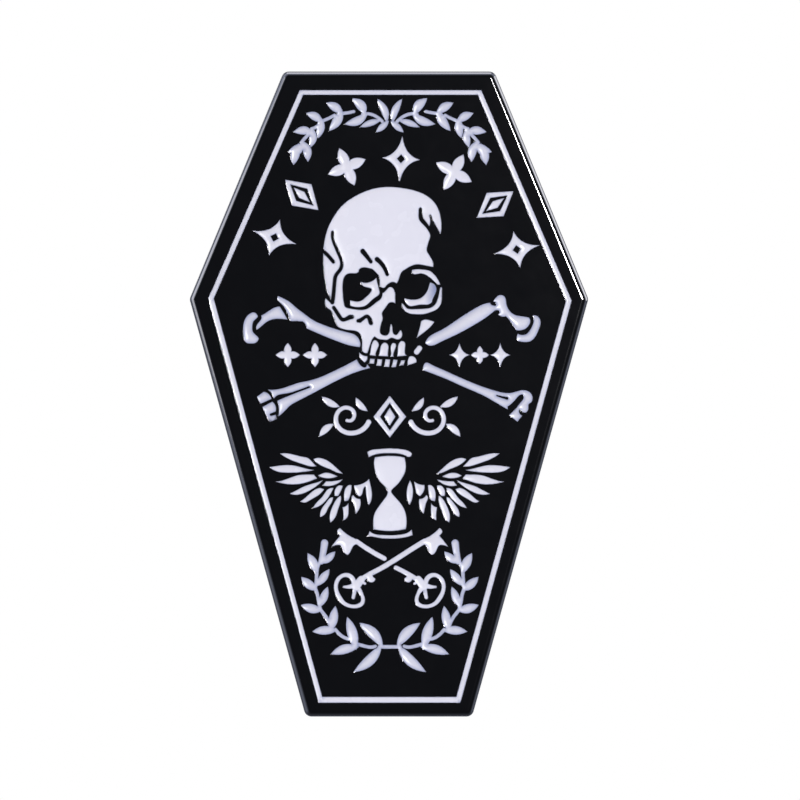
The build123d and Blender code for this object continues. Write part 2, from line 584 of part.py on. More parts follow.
# wings of loose feathers, one each side of the hourglass
feathers = [
    [[(-6.4, -3.5), (-5.9, -3.5), (-5.2, -3.67), (-4.72, -3.8), (-4.5, -4.02), (-4.27, -4.24)],
     [(-4.27, -4.24), (-4.6, -4.25), (-5.1, -4.11), (-5.7, -3.9), (-6.4, -3.5)]],
    [[(-7.02, -4.3), (-6.4, -4.21), (-5.65, -4.2), (-5.2, -4.3), (-4.4, -4.47)],
     [(-4.4, -4.47), (-5.0, -4.57), (-5.85, -4.62), (-6.5, -4.57), (-7.02, -4.3)]],
    [[(-6.67, -5.15), (-6.0, -5.0), (-5.4, -4.79), (-4.95, -4.74), (-4.42, -4.74)],
     [(-4.42, -4.74), (-4.24, -4.96)],
     [(-4.24, -4.96), (-4.65, -5.12), (-5.2, -5.27), (-6.0, -5.29), (-6.67, -5.15)]],
    [[(-5.82, -5.86), (-5.35, -5.62), (-4.9, -5.4), (-4.4, -5.25), (-3.88, -5.06)],
     [(-3.88, -5.06), (-4.15, -5.32), (-4.55, -5.6), (-5.05, -5.84), (-5.45, -5.92), (-5.82, -5.86)]],
    [[(-5.2, -6.31), (-4.75, -5.95), (-4.4, -5.66), (-4.05, -5.52)],
     [(-4.05, -5.52), (-3.82, -5.6)],
     [(-3.82, -5.6), (-4.12, -5.92), (-4.55, -6.18), (-5.02, -6.38), (-5.2, -6.31)]],
    [[(-4.47, -6.7), (-4.22, -6.35), (-3.9, -6.02), (-3.6, -5.62), (-3.27, -5.53)],
     [(-3.27, -5.53), (-3.47, -5.92), (-3.75, -6.3), (-4.05, -6.55), (-4.47, -6.7)]],
    [[(-4.04, -7.22), (-3.95, -6.75), (-3.68, -6.38), (-3.42, -6.1), (-3.3, -6.08)],
     [(-3.3, -6.08), (-3.37, -6.35), (-3.6, -6.72), (-3.7, -6.95), (-4.04, -7.22)]],
    [[(-3.44, -7.55), (-3.44, -6.95), (-3.27, -6.52), (-3.03, -6.13), (-2.84, -5.98)],
     [(-2.84, -5.98), (-2.83, -6.25), (-2.97, -6.68), (-3.12, -7.15), (-3.44, -7.55)]],
    [[(-2.68, -7.42), (-2.67, -7.05), (-2.72, -6.66)],
     [(-2.72, -6.66), (-2.54, -6.6), (-2.38, -6.4)],
     [(-2.38, -6.4), (-2.38, -6.85), (-2.45, -7.22), (-2.68, -7.42)]],
    [[(-1.94, -7.03), (-2.0, -6.7), (-2.1, -6.35), (-2.19, -6.1), (-2.1, -5.94)],
     [(-2.1, -5.94), (-1.93, -6.12), (-1.69, -6.18)],
     [(-1.69, -6.18), (-1.7, -6.6), (-1.94, -7.03)]],
    [[(-4.44, -3.84), (-4.2, -3.76), (-3.9, -3.8), (-3.45, -4.03), (-3.08, -4.35), (-2.73, -4.67)],
     [(-2.73, -4.67), (-3.05, -4.61), (-3.45, -4.43), (-3.95, -4.22), (-4.44, -3.84)]],
    [[(-4.17, -4.8), (-3.9, -4.67), (-3.65, -4.63), (-3.35, -4.7), (-3.03, -4.84)],
     [(-3.03, -4.84), (-3.4, -4.94), (-3.85, -4.92), (-4.17, -4.8)]],
    [[(-3.89, -5.37), (-3.7, -5.14)],
     [(-3.7, -5.14), (-3.2, -5.12), (-2.73, -5.02)],
     [(-2.73, -5.02), (-3.0, -5.24), (-3.4, -5.39), (-3.89, -5.37)]],
    [[(-3.16, -5.99), (-3.18, -5.7), (-3.05, -5.45), (-2.72, -5.4)],
     [(-2.72, -5.4), (-2.85, -5.72), (-3.0, -5.99)],
     [(-3.0, -5.99), (-3.16, -5.99)]],
    [[(-2.6, -6.3), (-2.64, -5.92), (-2.52, -5.5), (-2.4, -5.38), (-2.2, -5.37)],
     [(-2.2, -5.37), (-2.26, -5.85), (-2.4, -6.25)],
     [(-2.4, -6.25), (-2.6, -6.3)]],
]
inner_left = [
    [[(-2.03, -5.38), (-1.65, -5.31), (-1.35, -5.16), (-1.17, -5.0)],
     [(-1.17, -5.0), (-1.07, -5.45), (-1.01, -5.9), (-1.18, -6.52)],
     [(-1.18, -6.52), (-1.29, -6.15), (-1.34, -5.7), (-1.4, -5.43), (-1.5, -5.55), (-1.58, -5.85),
      (-1.72, -6.01), (-1.88, -5.85), (-2.03, -5.38)]],
]
inner_right = [
    [[(1.24, -5.08), (1.08, -5.55), (1.06, -6.05), (1.23, -6.5)],
     [(1.23, -6.5), (1.37, -6.1), (1.4, -5.6), (1.24, -5.08)]],
    [[(1.47, -5.13), (1.7, -5.28), (2.08, -5.35)],
     [(2.08, -5.35), (2.03, -5.72), (1.82, -6.0)],
     [(1.82, -6.0), (1.66, -5.85), (1.56, -5.55), (1.47, -5.13)]],
]
wings_art = {}
for side, hand, inner in ((1, "left", inner_left), (-1, "right", inner_right)):
    with BuildSketch(recess_floor) as wing:
        for feather in feathers:
            cell(*feather, side=side)
        for feather in inner:
            cell(*feather)
    wings_art[hand] = wing


# two keys, the one laid over the other
def key_flare(side):
    """The flared, pointed end of a key."""
    cell(
        [(-1.95, -8.53), (-2.4, -8.3), (-2.88, -7.88)],
        [(-2.88, -7.88), (-3.02, -8.02), (-2.86, -8.33)],
        [(-2.86, -8.33), (-3.05, -8.55), (-3.38, -8.98)],
        [(-3.38, -8.98), (-3.1, -8.88), (-2.85, -8.9), (-2.72, -9.1), (-2.42, -9.45)],
        [(-2.42, -9.45), (-2.22, -9.15), (-2.05, -8.88), (-1.85, -8.84)],
        [(-1.85, -8.84), (-1.95, -8.53)],
        side=side,
    )


def key_bow(side):
    """The heart-shaped handle of a key, with its collar and the bit beside it."""
    ring_cell(
        [(-1.95, -10.98), (-2.12, -10.68), (-2.5, -10.52), (-2.85, -10.62), (-3.12, -10.88),
         (-3.23, -11.25), (-3.18, -11.65), (-3.0, -12.05), (-2.72, -12.38), (-2.3, -12.57),
         (-1.85, -12.58), (-1.53, -12.42), (-1.42, -12.1), (-1.52, -11.72), (-1.7, -11.35)],
        side,
    )
    ring_cell(
        [(-2.2, -11.08), (-2.34, -10.84), (-2.6, -10.76), (-2.85, -10.9), (-3.0, -11.2),
         (-2.97, -11.58), (-2.8, -11.9), (-2.58, -12.2), (-2.28, -12.36), (-1.92, -12.37),
         (-1.67, -12.22), (-1.64, -12.0), (-1.75, -11.72), (-1.95, -11.52)],
        side, mode=Mode.SUBTRACT,
    )
    stroke([(-1.95, -11.2), (-2.02, -11.6), (-2.1, -11.97)], 0.24, 0.19, side)
    stroke([(-1.95, -11.2), (-2.3, -11.33), (-2.64, -11.34)], 0.34, 0.13, side)
    stroke([(-1.62, -10.9), (-1.78, -11.1), (-1.95, -11.3)], 0.42, 0.5, side)
    stroke([(-1.6, -11.05), (-1.42, -11.14)], 0.16, side=side)
    cell(
        [(-0.88, -10.52), (-0.95, -10.72), (-0.82, -10.84)],
        [(-0.82, -10.84), (-0.86, -11.0), (-1.08, -11.07), (-1.24, -10.95), (-1.26, -10.72)],
        [(-1.26, -10.72), (-0.88, -10.52)],
        side=side,
    )


with BuildSketch(recess_floor) as whole_key_art:
    key_bow(1)
    key_flare(-1)
    stroke([(2.1, -8.65), (0.9, -9.4), (0.15, -9.88), (-0.6, -10.32), (-1.15, -10.6), (-1.75, -11.02)],
           0.3, 0.28)

with BuildSketch(recess_floor) as broken_key_art:
    key_bow(-1)
    key_flare(1)
    stroke([(-1.9, -8.67), (-0.95, -9.3), (-0.28, -9.67)], 0.28)
    stroke([(0.42, -10.22), (0.75, -10.38), (1.15, -10.6), (1.8, -11.0)], 0.26, 0.28)

# lower laurel: two sprigs joined at the foot of the coffin
lower_leaves = [
    ((-4.05, -9.95), (-3.16, -9.26), 0.43, -0.07),
    ((-4.22, -10.55), (-4.78, -9.36), 0.52, -0.05),
    ((-4.28, -11.3), (-3.5, -10.3), 0.45, -0.02),
    ((-4.18, -11.55), (-5.16, -10.76), 0.5, 0.05),
    ((-4.1, -12.55), (-3.6, -11.33), 0.45, -0.02),
    ((-3.9, -12.72), (-5.17, -12.4), 0.52, 0.06),
    ((-3.4, -13.95), (-3.14, -12.46), 0.52, 0.0),
    ((-3.05, -13.9), (-4.5, -13.97), 0.5, -0.04),
    ((-1.93, -15.05), (-2.46, -13.1), 0.6, -0.04),
    ((-1.75, -14.86), (-3.42, -15.3), 0.54, -0.08),
    ((-0.36, -14.9), (-1.74, -13.46), 0.6, -0.16),
    ((-0.42, -14.72), (-2.08, -16.35), 0.6, 0.17),
]
lower_stems = [
    [(-4.0, -9.85), (-4.18, -10.1), (-4.25, -10.6), (-4.27, -11.0), (-4.33, -11.35)],
    [(-4.35, -11.45), (-4.2, -11.8), (-4.12, -12.3), (-4.05, -12.6)],
    [(-4.05, -12.65), (-3.78, -13.0), (-3.55, -13.35), (-3.45, -13.7)],
    [(-3.15, -13.85), (-2.85, -14.17), (-2.5, -14.37), (-2.1, -14.4)],
    [(-1.95, -14.7), (-1.6, -14.78), (-1.25, -14.87), (-0.8, -14.84)],
]
with BuildSketch(recess_floor) as lower_laurel_art:
    for side in (1, -1):
        for base, tip, width, bend in lower_leaves:
            leaf(base, tip, width, bend, side)
        for path in lower_stems:
            stroke(path, 0.2, side=side)
        stroke([(-3.79, -8.76), (-3.85, -9.2), (-3.98, -9.85)], 0.42, 0.34, side)
    stroke([(-0.55, -14.86), (0.05, -14.87), (0.65, -14.86)], 0.21)

artwork = {
    "enamel_border_line": border_art,
    "enamel_upper_laurel_left": upper_laurels["left"],
    "enamel_upper_laurel_right": upper_laurels["right"],
    "enamel_arc_ornaments": arc_art,
    "enamel_skull_face": skull_art,
    "enamel_left_eye_highlight": left_glint_art,
    "enamel_right_brow": right_brow_art,
    "enamel_right_eye_highlight": right_glint_art,
    "enamel_right_eye_rim": right_rim_art,
    "enamel_skull_chips": chips_art,
    "enamel_upper_teeth": upper_teeth_art,
    "enamel_lower_teeth": lower_teeth_art,
    "enamel_bone_upper_left": bone_upper_left_art,
    "enamel_bone_lower_left": bone_lower_left_art,
    "enamel_bone_upper_right": bone_upper_right_art,
    "enamel_bone_lower_right": bone_lower_right_art,
    "enamel_small_ornaments_left": small_left_art,
    "enamel_small_ornaments_right": small_right_art,
    "enamel_scroll_ornament": scroll_art,
    "enamel_hourglass_cap": glass_cap_art,
    "enamel_hourglass_bulbs": glass_art,
    "enamel_hourglass_foot": glass_foot_art,
    "enamel_wing_left": wings_art["left"],
    "enamel_wing_right": wings_art["right"],
    "enamel_whole_key": whole_key_art,
    "enamel_broken_key": broken_key_art,
    "enamel_lower_laurel": lower_laurel_art,
}

# ----------------------------------------------------------------- the enamel

# each colour cell is a pool of enamel, poured just short of the metal's face
for name, art in artwork.items():
    with BuildPart() as pool:
        extrude(art.sketch, amount=enamel_fill)
    finish(pool, name)

# ------------------------------------------------------------------ the plate

post_radius = post_diameter / 2
pad_radius = pad_diameter / 2
seat_radius = pad_radius + solder_width
post_heights = {"upper": post_spacing / 2, "lower": -post_spacing / 2}

with BuildPart() as base_plate:
    with BuildSketch(Plane.XZ) as blank:
        Polygon(*outline, align=None)
        fillet(blank.vertices(), corner_radius)
    extrude(amount=plate_thickness)
    fillet(base_plate.faces().sort_by(Axis.Y)[0].edges(), front_rim_radius)
    fillet(base_plate.faces().sort_by(Axis.Y)[-1].edges(), back_rim_radius)
    with BuildSketch(Plane.XZ):
        with Locations(*[(0, z) for z in post_heights.values()]):
            Circle(seat_radius)
    extrude(amount=pad_sink, mode=Mode.SUBTRACT)
    for art in artwork.values():
        extrude(art.sketch, amount=recess_depth, mode=Mode.SUBTRACT)
finish(base_plate, "base_plate")

# ------------------------------------------------------- posts and clutches

# Everything on the back is round about a post's axis, which runs along +Y.
shell_radius = clutch_diameter / 2
hole_radius = post_radius + hole_clearance
disc_back = clutch_gap + disc_sheet
leaf_back = disc_back + leaf_gap + leaf_sheet
hinge_y = disc_back + hinge_height
jaw_face = post_radius - 0.07
jaw_channel = post_radius + jaw_clearance
wing_top = disc_back + wing_rise
leaf_radius = shell_radius - disc_sheet - 0.22

for where, z in post_heights.items():
    spin = Plane(origin=(0, 0, z), x_dir=(1, 0, 0), z_dir=(0, 0, 1))
    turn = Axis((0, 0, z), (0, 1, 0))

    # nail post: a pad, a shank with the clutch's groove, and a blunt point
    with BuildPart() as post:
        with BuildSketch(spin):
            with BuildLine():
                Polyline(
                    (0, -pad_sink),
                    (pad_radius, -pad_sink),
                    (pad_radius, pad_thickness - pad_sink - 0.08),
                    (pad_radius - 0.08, pad_thickness - pad_sink),
                    (post_radius + 0.12, pad_thickness - pad_sink),
                    (post_radius, pad_thickness - pad_sink + 0.12),
                    (post_radius, groove_start),
                    (groove_diameter / 2, groove_start + 0.05),
                    (groove_diameter / 2, groove_start + groove_length),
                    (post_radius, groove_start + groove_length + 0.0),
                    (post_radius, post_length - post_tip),
                    (0.3 * post_radius, post_length - 0.12),
                    (0, post_length),
                    close=True,
                )
            make_face()
        revolve(axis=turn)
    finish(post, f"{where}_post")

    # the solder that runs round the pad, inside the seat
    with BuildPart() as solder:
        with BuildSketch(spin):
            with BuildLine():
                Polyline(
                    (pad_radius, 0.5 * (pad_thickness - pad_sink)),
                    (pad_radius, -pad_sink),
                    (seat_radius, -pad_sink),
                    (seat_radius, -0.3 * pad_sink),
                )
                Spline(
                    (seat_radius, -0.3 * pad_sink),
                    (pad_radius + 0.4 * solder_width, -0.05 * pad_sink),
                    (pad_radius, 0.5 * (pad_thickness - pad_sink)),
                )
            make_face()
        revolve(axis=turn)
    finish(solder, f"{where}_post_solder")

    # clutch disc: a round of sheet with a hole, its edge rolled over the spring
    with BuildPart() as disc:
        with BuildSketch(spin):
            with BuildLine():
                outer = Polyline(
                    (hole_radius, disc_back),
                    (hole_radius, clutch_gap),
                    (shell_radius - 0.6, clutch_gap),
                )
                Spline(
                    (shell_radius - 0.6, clutch_gap),
                    (shell_radius - 0.15, clutch_gap + 0.18),
                    (shell_radius, clutch_gap + 0.6),
                    (shell_radius - 0.15, clutch_gap + rim_height - 0.12),
                    (shell_radius - 0.42, clutch_gap + rim_height),
                    tangents=((1, 0), (-1, 0)),
                )
                Polyline(
                    (shell_radius - 0.42, clutch_gap + rim_height),
                    (shell_radius - rim_lip, clutch_gap + rim_height - 0.03),
                    (shell_radius - rim_lip, clutch_gap + rim_height - 0.28),
                    (shell_radius - 0.42, clutch_gap + rim_height - 0.3),
                )
                Spline(
                    (shell_radius - 0.42, clutch_gap + rim_height - 0.3),
                    (shell_radius - 0.3, clutch_gap + 0.55),
                    (shell_radius - 0.6, disc_back),
                    tangents=((1, 0), (-1, 0)),
                )
                Line((shell_radius - 0.6, disc_back), (hole_radius, disc_back))
            make_face()
        revolve(axis=turn)
    finish(disc, f"{where}_clutch_disc")

    # spring base: a leaf across the disc, held under its rim, with four legs
    leaf_plane = Plane.XZ.offset(-(disc_back + leaf_gap))
    with BuildPart() as spring_base:
        with BuildSketch(leaf_plane):
            with Locations((0, z)):
                Circle(leaf_radius)
                Rectangle(2 * shell_radius, leaf_width, mode=Mode.INTERSECT)
                RectangleRounded(
                    2 * hinge_offset + 1.1, jaw_width + 0.7, 0.4, mode=Mode.SUBTRACT
                )
        extrude(amount=-leaf_sheet)
        for side in (-1, 1):
            for end in (-1, 1):
                leg_z = z + end * (wing_root_width / 2 - leg_width / 2)
                with BuildSketch(spin.offset(leg_z - z - leg_width / 2)):
                    with BuildLine():
                        Polyline(
                            (side * (hinge_offset + 1.1), disc_back + leaf_gap),
                            (side * (hinge_offset + 1.1 + leaf_sheet), disc_back + leaf_gap),
                            (side * (hinge_offset + 1.1 + leaf_sheet), leaf_back + 0.1),
                            (side * (hinge_offset + 0.33), hinge_y + 0.03),
                            (side * (hinge_offset + 0.1), hinge_y - 0.1),
                            close=True,
                        )
                    make_face()
                extrude(amount=leg_width)
    finish(spring_base, f"{where}_clutch_spring_base")

    # wings: each a jaw along the post, a bend at the hinge line and a finger tab
    for side, hand in ((-1, "left"), (1, "right")):
        with BuildPart() as wing:
            with BuildSketch(spin.offset(-wing_width / 2)):
                with BuildLine():
                    Polyline(
                        (side * jaw_face, leaf_back + jaw_foot),
                        (side * (jaw_face + leaf_sheet), leaf_back + jaw_foot),
                        (side * (jaw_face + leaf_sheet), hinge_y - 0.55),
                    )
                    Spline(
                        (side * (jaw_face + leaf_sheet), hinge_y - 0.55),
                        (side * (hinge_offset - 0.32), hinge_y - 0.2),
                        (side * (hinge_offset + 0.1), hinge_y - 0.02),
                        (side * (0.55 * wing_reach), hinge_y + 0.33 * (wing_top - hinge_y)),
                        (side * (wing_reach - 0.35), wing_top - 0.45),
                        (side * wing_reach, wing_top - 0.05),
                    )
                    Polyline(
                        (side * wing_reach, wing_top - 0.05),
                        (side * (wing_reach - 0.22), wing_top + 0.05),
                    )
                    Spline(
                        (side * (wing_reach - 0.22), wing_top + 0.05),
                        (side * (wing_reach - 0.56), wing_top - 0.3),
                        (side * (0.55 * wing_reach - 0.1), hinge_y + 0.33 * (wing_top - hinge_y) + 0.24),
                        (side * (hinge_offset - 0.02), hinge_y + 0.22),
                        (side * (hinge_offset - 0.52), hinge_y + 0.0),
                        (side * jaw_face, hinge_y - 0.45),
                    )
                    Line((side * jaw_face, hinge_y - 0.45), (side * jaw_face, leaf_back + jaw_foot))
                make_face()
            extrude(amount=wing_width)
            # the tab's outline, seen from behind: narrow at the hinge, round at the tip
            with BuildSketch(Plane.XZ.offset(-leaf_back)):
                with BuildLine():
                    Polyline(
                        (side * (jaw_face - 0.1), z + wing_root_width / 2 - 0.3),
                        (side * (hinge_offset + 0.2), z + wing_root_width / 2),
                        (side * 0.75 * wing_reach, z + wing_width / 2),
                    )
                    Spline(
                        (side * 0.75 * wing_reach, z + wing_width / 2),
                        (side * (wing_reach - 0.12), z + 0.3 * wing_width),
                        (side * (wing_reach + 0.05), z),
                        (side * (wing_reach - 0.12), z - 0.3 * wing_width),
                        (side * 0.75 * wing_reach, z - wing_width / 2),
                    )
                    Polyline(
                        (side * 0.75 * wing_reach, z - wing_width / 2),
                        (side * (hinge_offset + 0.2), z - wing_root_width / 2),
                        (side * (jaw_face - 0.1), z - wing_root_width / 2 + 0.3),
                        (side * (jaw_face - 0.1), z + wing_root_width / 2 - 0.3),
                    )
                make_face()
            extrude(amount=-(wing_rise + 1), mode=Mode.INTERSECT)
            # the jaw is a narrow tongue below the bend, hollowed to the post
            jaw_room = Plane.XZ.offset(-leaf_back)
            with BuildSketch(jaw_room):
                for end in (-1, 1):
                    with Locations((side * 0.5 * hinge_offset, z + end * (jaw_width / 2 + wing_width / 2))):
                        Rectangle(1.4 * hinge_offset, wing_width)
            extrude(amount=-(hinge_y - 0.34 - leaf_back), mode=Mode.SUBTRACT)
            with BuildSketch(jaw_room):
                with Locations((0, z)):
                    Circle(jaw_channel)
            extrude(amount=-(wing_rise + 1), mode=Mode.SUBTRACT)
        finish(wing, f"{where}_clutch_wing_{hand}")
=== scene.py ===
"""A coffin-shaped soft-enamel pin, from its struck plate to the clutches on its back."""

import math

import bpy
import numpy as np
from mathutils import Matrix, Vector
from mathutils.geometry import delaunay_2d_cdt


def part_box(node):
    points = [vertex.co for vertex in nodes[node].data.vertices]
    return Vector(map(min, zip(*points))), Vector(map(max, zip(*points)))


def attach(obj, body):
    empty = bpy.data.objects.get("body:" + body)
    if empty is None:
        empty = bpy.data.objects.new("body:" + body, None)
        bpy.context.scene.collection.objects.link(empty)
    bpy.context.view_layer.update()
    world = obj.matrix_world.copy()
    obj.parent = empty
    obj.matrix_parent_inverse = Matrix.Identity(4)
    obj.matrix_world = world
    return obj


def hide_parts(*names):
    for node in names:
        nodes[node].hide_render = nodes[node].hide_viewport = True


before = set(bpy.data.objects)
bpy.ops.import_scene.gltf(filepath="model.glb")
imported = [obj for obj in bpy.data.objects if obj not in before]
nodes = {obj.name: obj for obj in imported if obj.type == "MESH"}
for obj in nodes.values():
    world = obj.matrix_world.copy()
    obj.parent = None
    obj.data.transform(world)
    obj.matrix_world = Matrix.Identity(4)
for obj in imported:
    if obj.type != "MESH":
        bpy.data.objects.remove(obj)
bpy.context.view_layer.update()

# ------------------------------------------------------------------ the plate
# A zinc alloy blank, die-struck so that its lines stand up round shallow recesses.
# It is tumbled and polished, which rounds its front edge and gives every line a
# fine soft edge, and then plated black.

plate_low, plate_high = (1000 * np.array(corner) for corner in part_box("base_plate"))
face_y, back_y = plate_low[1], plate_high[1]
half_height = plate_high[2]
half_shoulder, half_top, half_bottom, shoulder_drop = 11.75, 6.2, 4.9, 13.4
corner_radius, rim_radius, back_edge_radius = 0.45, 0.42, 0.12
recess_depth, line_edge_radius = 0.45, 0.03
seat_radius, seat_depth, post_height = 2.35, 0.2, 9.0
recess_floor = face_y + recess_depth


def coffin(steps=12):
    """Points round the coffin's edge and their outward normals. Each corner is an arc of
    the corner radius about its own centre, from one side's normal to the next's."""
    corner = np.array([
        (-half_top, half_height), (half_top, half_height),
        (half_shoulder, half_height - shoulder_drop), (half_bottom, -half_height),
        (-half_bottom, -half_height), (-half_shoulder, half_height - shoulder_drop),
    ])
    along = np.roll(corner, -1, 0) - corner
    along /= np.linalg.norm(along, axis=1)[:, None]
    after = np.stack([-along[:, 1], along[:, 0]], 1)
    before = np.roll(after, 1, 0)
    turn = (before * after).sum(1)
    centre = corner - corner_radius * (before + after) / (1 + turn)[:, None]
    start = np.arctan2(before[:, 1], before[:, 0])
    angle = start[:, None] - np.arccos(turn)[:, None] * np.linspace(0, 1, steps)
    out = np.stack([np.cos(angle), np.sin(angle)], 2)
    return (centre[:, None] + corner_radius * out).reshape(-1, 2), out.reshape(-1, 2)


def ring_edges(count):
    """The edges of a closed ring of points, each to the next and the last to the first."""
    return np.stack([np.arange(count), (np.arange(count) + 1) % count], 1)


def divided(points, edges, longest):
    """Divides outlines' edges into equal parts that are no longer than longest."""
    first, last = points[edges[:, 0]], points[edges[:, 1]]
    pieces = np.ceil(np.linalg.norm(last - first, axis=1) / longest).astype(int)
    begin = np.concatenate([[0], np.cumsum(pieces)])
    which = np.repeat(np.arange(len(edges)), pieces)
    share = (np.arange(begin[-1]) - begin[which]) / pieces[which]
    edge_from = np.zeros(len(points), int)
    edge_from[edges[:, 0]] = np.arange(len(edges))
    following = np.arange(begin[-1]) + 1
    following[begin[1:] - 1] = begin[edge_from[edges[:, 1]]]
    spots = first[which] + (last - first)[which] * share[:, None]
    return spots, np.stack([np.arange(begin[-1]), following], 1)


def facing_out(points, edges, least_cosine=0.7):
    """Unit normals at an outline's points, towards the right of its edges, and how far a
    mitred corner stands out for each unit of offset: one over the cosine of half its turn,
    with the cosine kept above the least."""
    step = points[edges[:, 1]] - points[edges[:, 0]]
    square = np.stack([step[:, 1], -step[:, 0]], 1)
    square /= np.linalg.norm(square, axis=1)[:, None]
    normal = square.copy()
    np.add.at(normal, edges[:, 1], square)
    normal /= np.maximum(np.linalg.norm(normal, axis=1), 1e-9)[:, None]
    return normal, 1 / np.maximum((normal * square).sum(1), least_cosine)


def struck_outline(cad_node, closest=0.003, longest=0.25, flatness=1e-3):
    """The outline of a recess, from the face of the enamel solid in it: the edges that
    only one of the face's triangles has, with the enamel on their left. Points nearer than
    closest are joined, and edges longer than longest are divided. Gives points (x, z),
    edges, normals towards the metal and mitres."""
    mesh = cad_node.data
    place = np.empty(3 * len(mesh.vertices))
    mesh.vertices.foreach_get("co", place)
    place = 1000 * place.reshape(-1, 3)
    corner = np.empty(3 * len(mesh.polygons), int)
    mesh.polygons.foreach_get("vertices", corner)
    corner = corner.reshape(-1, 3)
    on_face = np.abs(place[corner][:, :, 1] - place[:, 1].min()) < flatness
    flat = corner[on_face.all(1)]
    spot, same = np.unique(np.round(place[:, [0, 2]], 4), axis=0, return_inverse=True)
    flat = same.ravel()[flat]
    (a, b, c) = (spot[flat[:, k]] for k in range(3))
    (ux, uz), (vx, vz) = (b - a).T, (c - a).T
    flat = flat if (ux * vz - uz * vx).sum() > 0 else flat[:, ::-1]
    half = np.concatenate([flat[:, [0, 1]], flat[:, [1, 2]], flat[:, [2, 0]]])
    count = len(spot)
    edge = half[~np.isin(half[:, 0] * count + half[:, 1], half[:, 1] * count + half[:, 0])]
    length = np.linalg.norm(spot[edge[:, 0]] - spot[edge[:, 1]], axis=1)
    onto = np.arange(count)
    onto[edge[length < closest, 1]] = edge[length < closest, 0]
    # each round doubles how far along a chain of short edges a point is carried
    for _ in range(6):
        onto = onto[onto]
    edge = onto[edge]
    points, edges = divided(spot, edge[edge[:, 0] != edge[:, 1]], longest)
    return points, edges, *facing_out(points, edges)


def softened(corners, radii, steps=6):
    """A profile through corners, each but the first and last rounded to its radius. The
    metal is on the profile's left. Each row is a point and the normal there: an arc's
    points are its centre plus or minus the radius times the normal, which turns evenly
    from the one side's to the next's."""
    corners, radii = np.array(corners, float), np.array(radii, float)
    step = np.diff(corners, axis=0)
    step /= np.linalg.norm(step, axis=1)[:, None]
    normal = np.stack([step[:, 1], -step[:, 0]], 1)
    before, after = normal[:-1], normal[1:]
    sine = before[:, 0] * after[:, 1] - before[:, 1] * after[:, 0]
    turn = np.arctan2(sine, (before * after).sum(1))
    start = corners[1:-1] - step[:-1] * (radii * np.tan(np.abs(turn) / 2))[:, None]
    reach = (radii * np.sign(turn))[:, None, None]
    angle = np.arctan2(before[:, 1], before[:, 0])
    angle = angle[:, None] + turn[:, None] * np.linspace(0, 1, steps)
    out = np.stack([np.cos(angle), np.sin(angle)], 2)
    arc = np.concatenate([start[:, None] + reach * (out - before[:, None]), out], 2)
    first, last = [*corners[0], *normal[0]], [*corners[-1], *normal[-1]]
    return np.concatenate([[first], arc.reshape(-1, 4), [last]])


def carried(points, normals, edges, profile, mitre=1.0):
    """Carries a profile round closed outlines. A profile row is how far it stands out from
    the outline, its y, and the surface's normal there as its outward and y parts. Each
    point is the outline's point, moved out along its normal."""
    out, y, normal_out, normal_y = np.array(profile, float).T[:, :, None]
    level_line = np.ones(len(points))
    reach = out * mitre * level_line
    place = np.stack([
        points[:, 0] + reach * normals[:, 0], y * level_line, points[:, 1] + reach * normals[:, 1]
    ], 2).reshape(-1, 3)
    facing = np.stack([
        normal_out * normals[:, 0], normal_y * level_line, normal_out * normals[:, 1]
    ], 2).reshape(-1, 3)
    row = len(points) * np.arange(len(profile) - 1)[:, None]
    a, b = edges[:, 0] + row, edges[:, 1] + row
    a, b = a.ravel(), b.ravel()
    c, d = b + len(points), a + len(points)
    return place, facing, np.concatenate([np.stack([a, b, c], 1), np.stack([a, c, d], 1)])


def inside(spots, points, edges, at_a_time=500):
    """Whether each spot is inside the outlines: a line from it towards +x crosses them an
    odd number of times."""
    (ax, az), (bx, bz) = points[edges[:, 0]].T, points[edges[:, 1]].T
    slope = (bx - ax) / np.where(bz == az, 1e-12, bz - az)
    found = []
    for part in np.array_split(spots, 1 + len(spots) // at_a_time):
        x, z = part[:, :1], part[:, 1:]
        crossed = ((az > z) != (bz > z)) & (ax + (z - az) * slope > x)
        found.append(crossed.sum(1) % 2 == 1)
    return np.concatenate(found)


def filled(points, edges):
    """Fills the area inside outlines with a constrained Delaunay triangulation of all the
    points. Gives its points and the triangles whose middles are inside."""
    made = delaunay_2d_cdt(points.tolist(), edges.tolist(), [], 0, 1e-7, False)
    spots, triangles = np.array(made[0], float), np.array(made[2], int)
    return spots, triangles[inside(spots[triangles].mean(1), points, edges)]


def level(points, edges, y, facing_y):
    """The flat area inside outlines, at a height y, facing along y."""
    spots, triangles = filled(points, edges)
    place = np.stack([spots[:, 0], np.full(len(spots), y), spots[:, 1]], 1)
    return place, np.tile((0.0, facing_y, 0.0), (len(spots), 1)), triangles


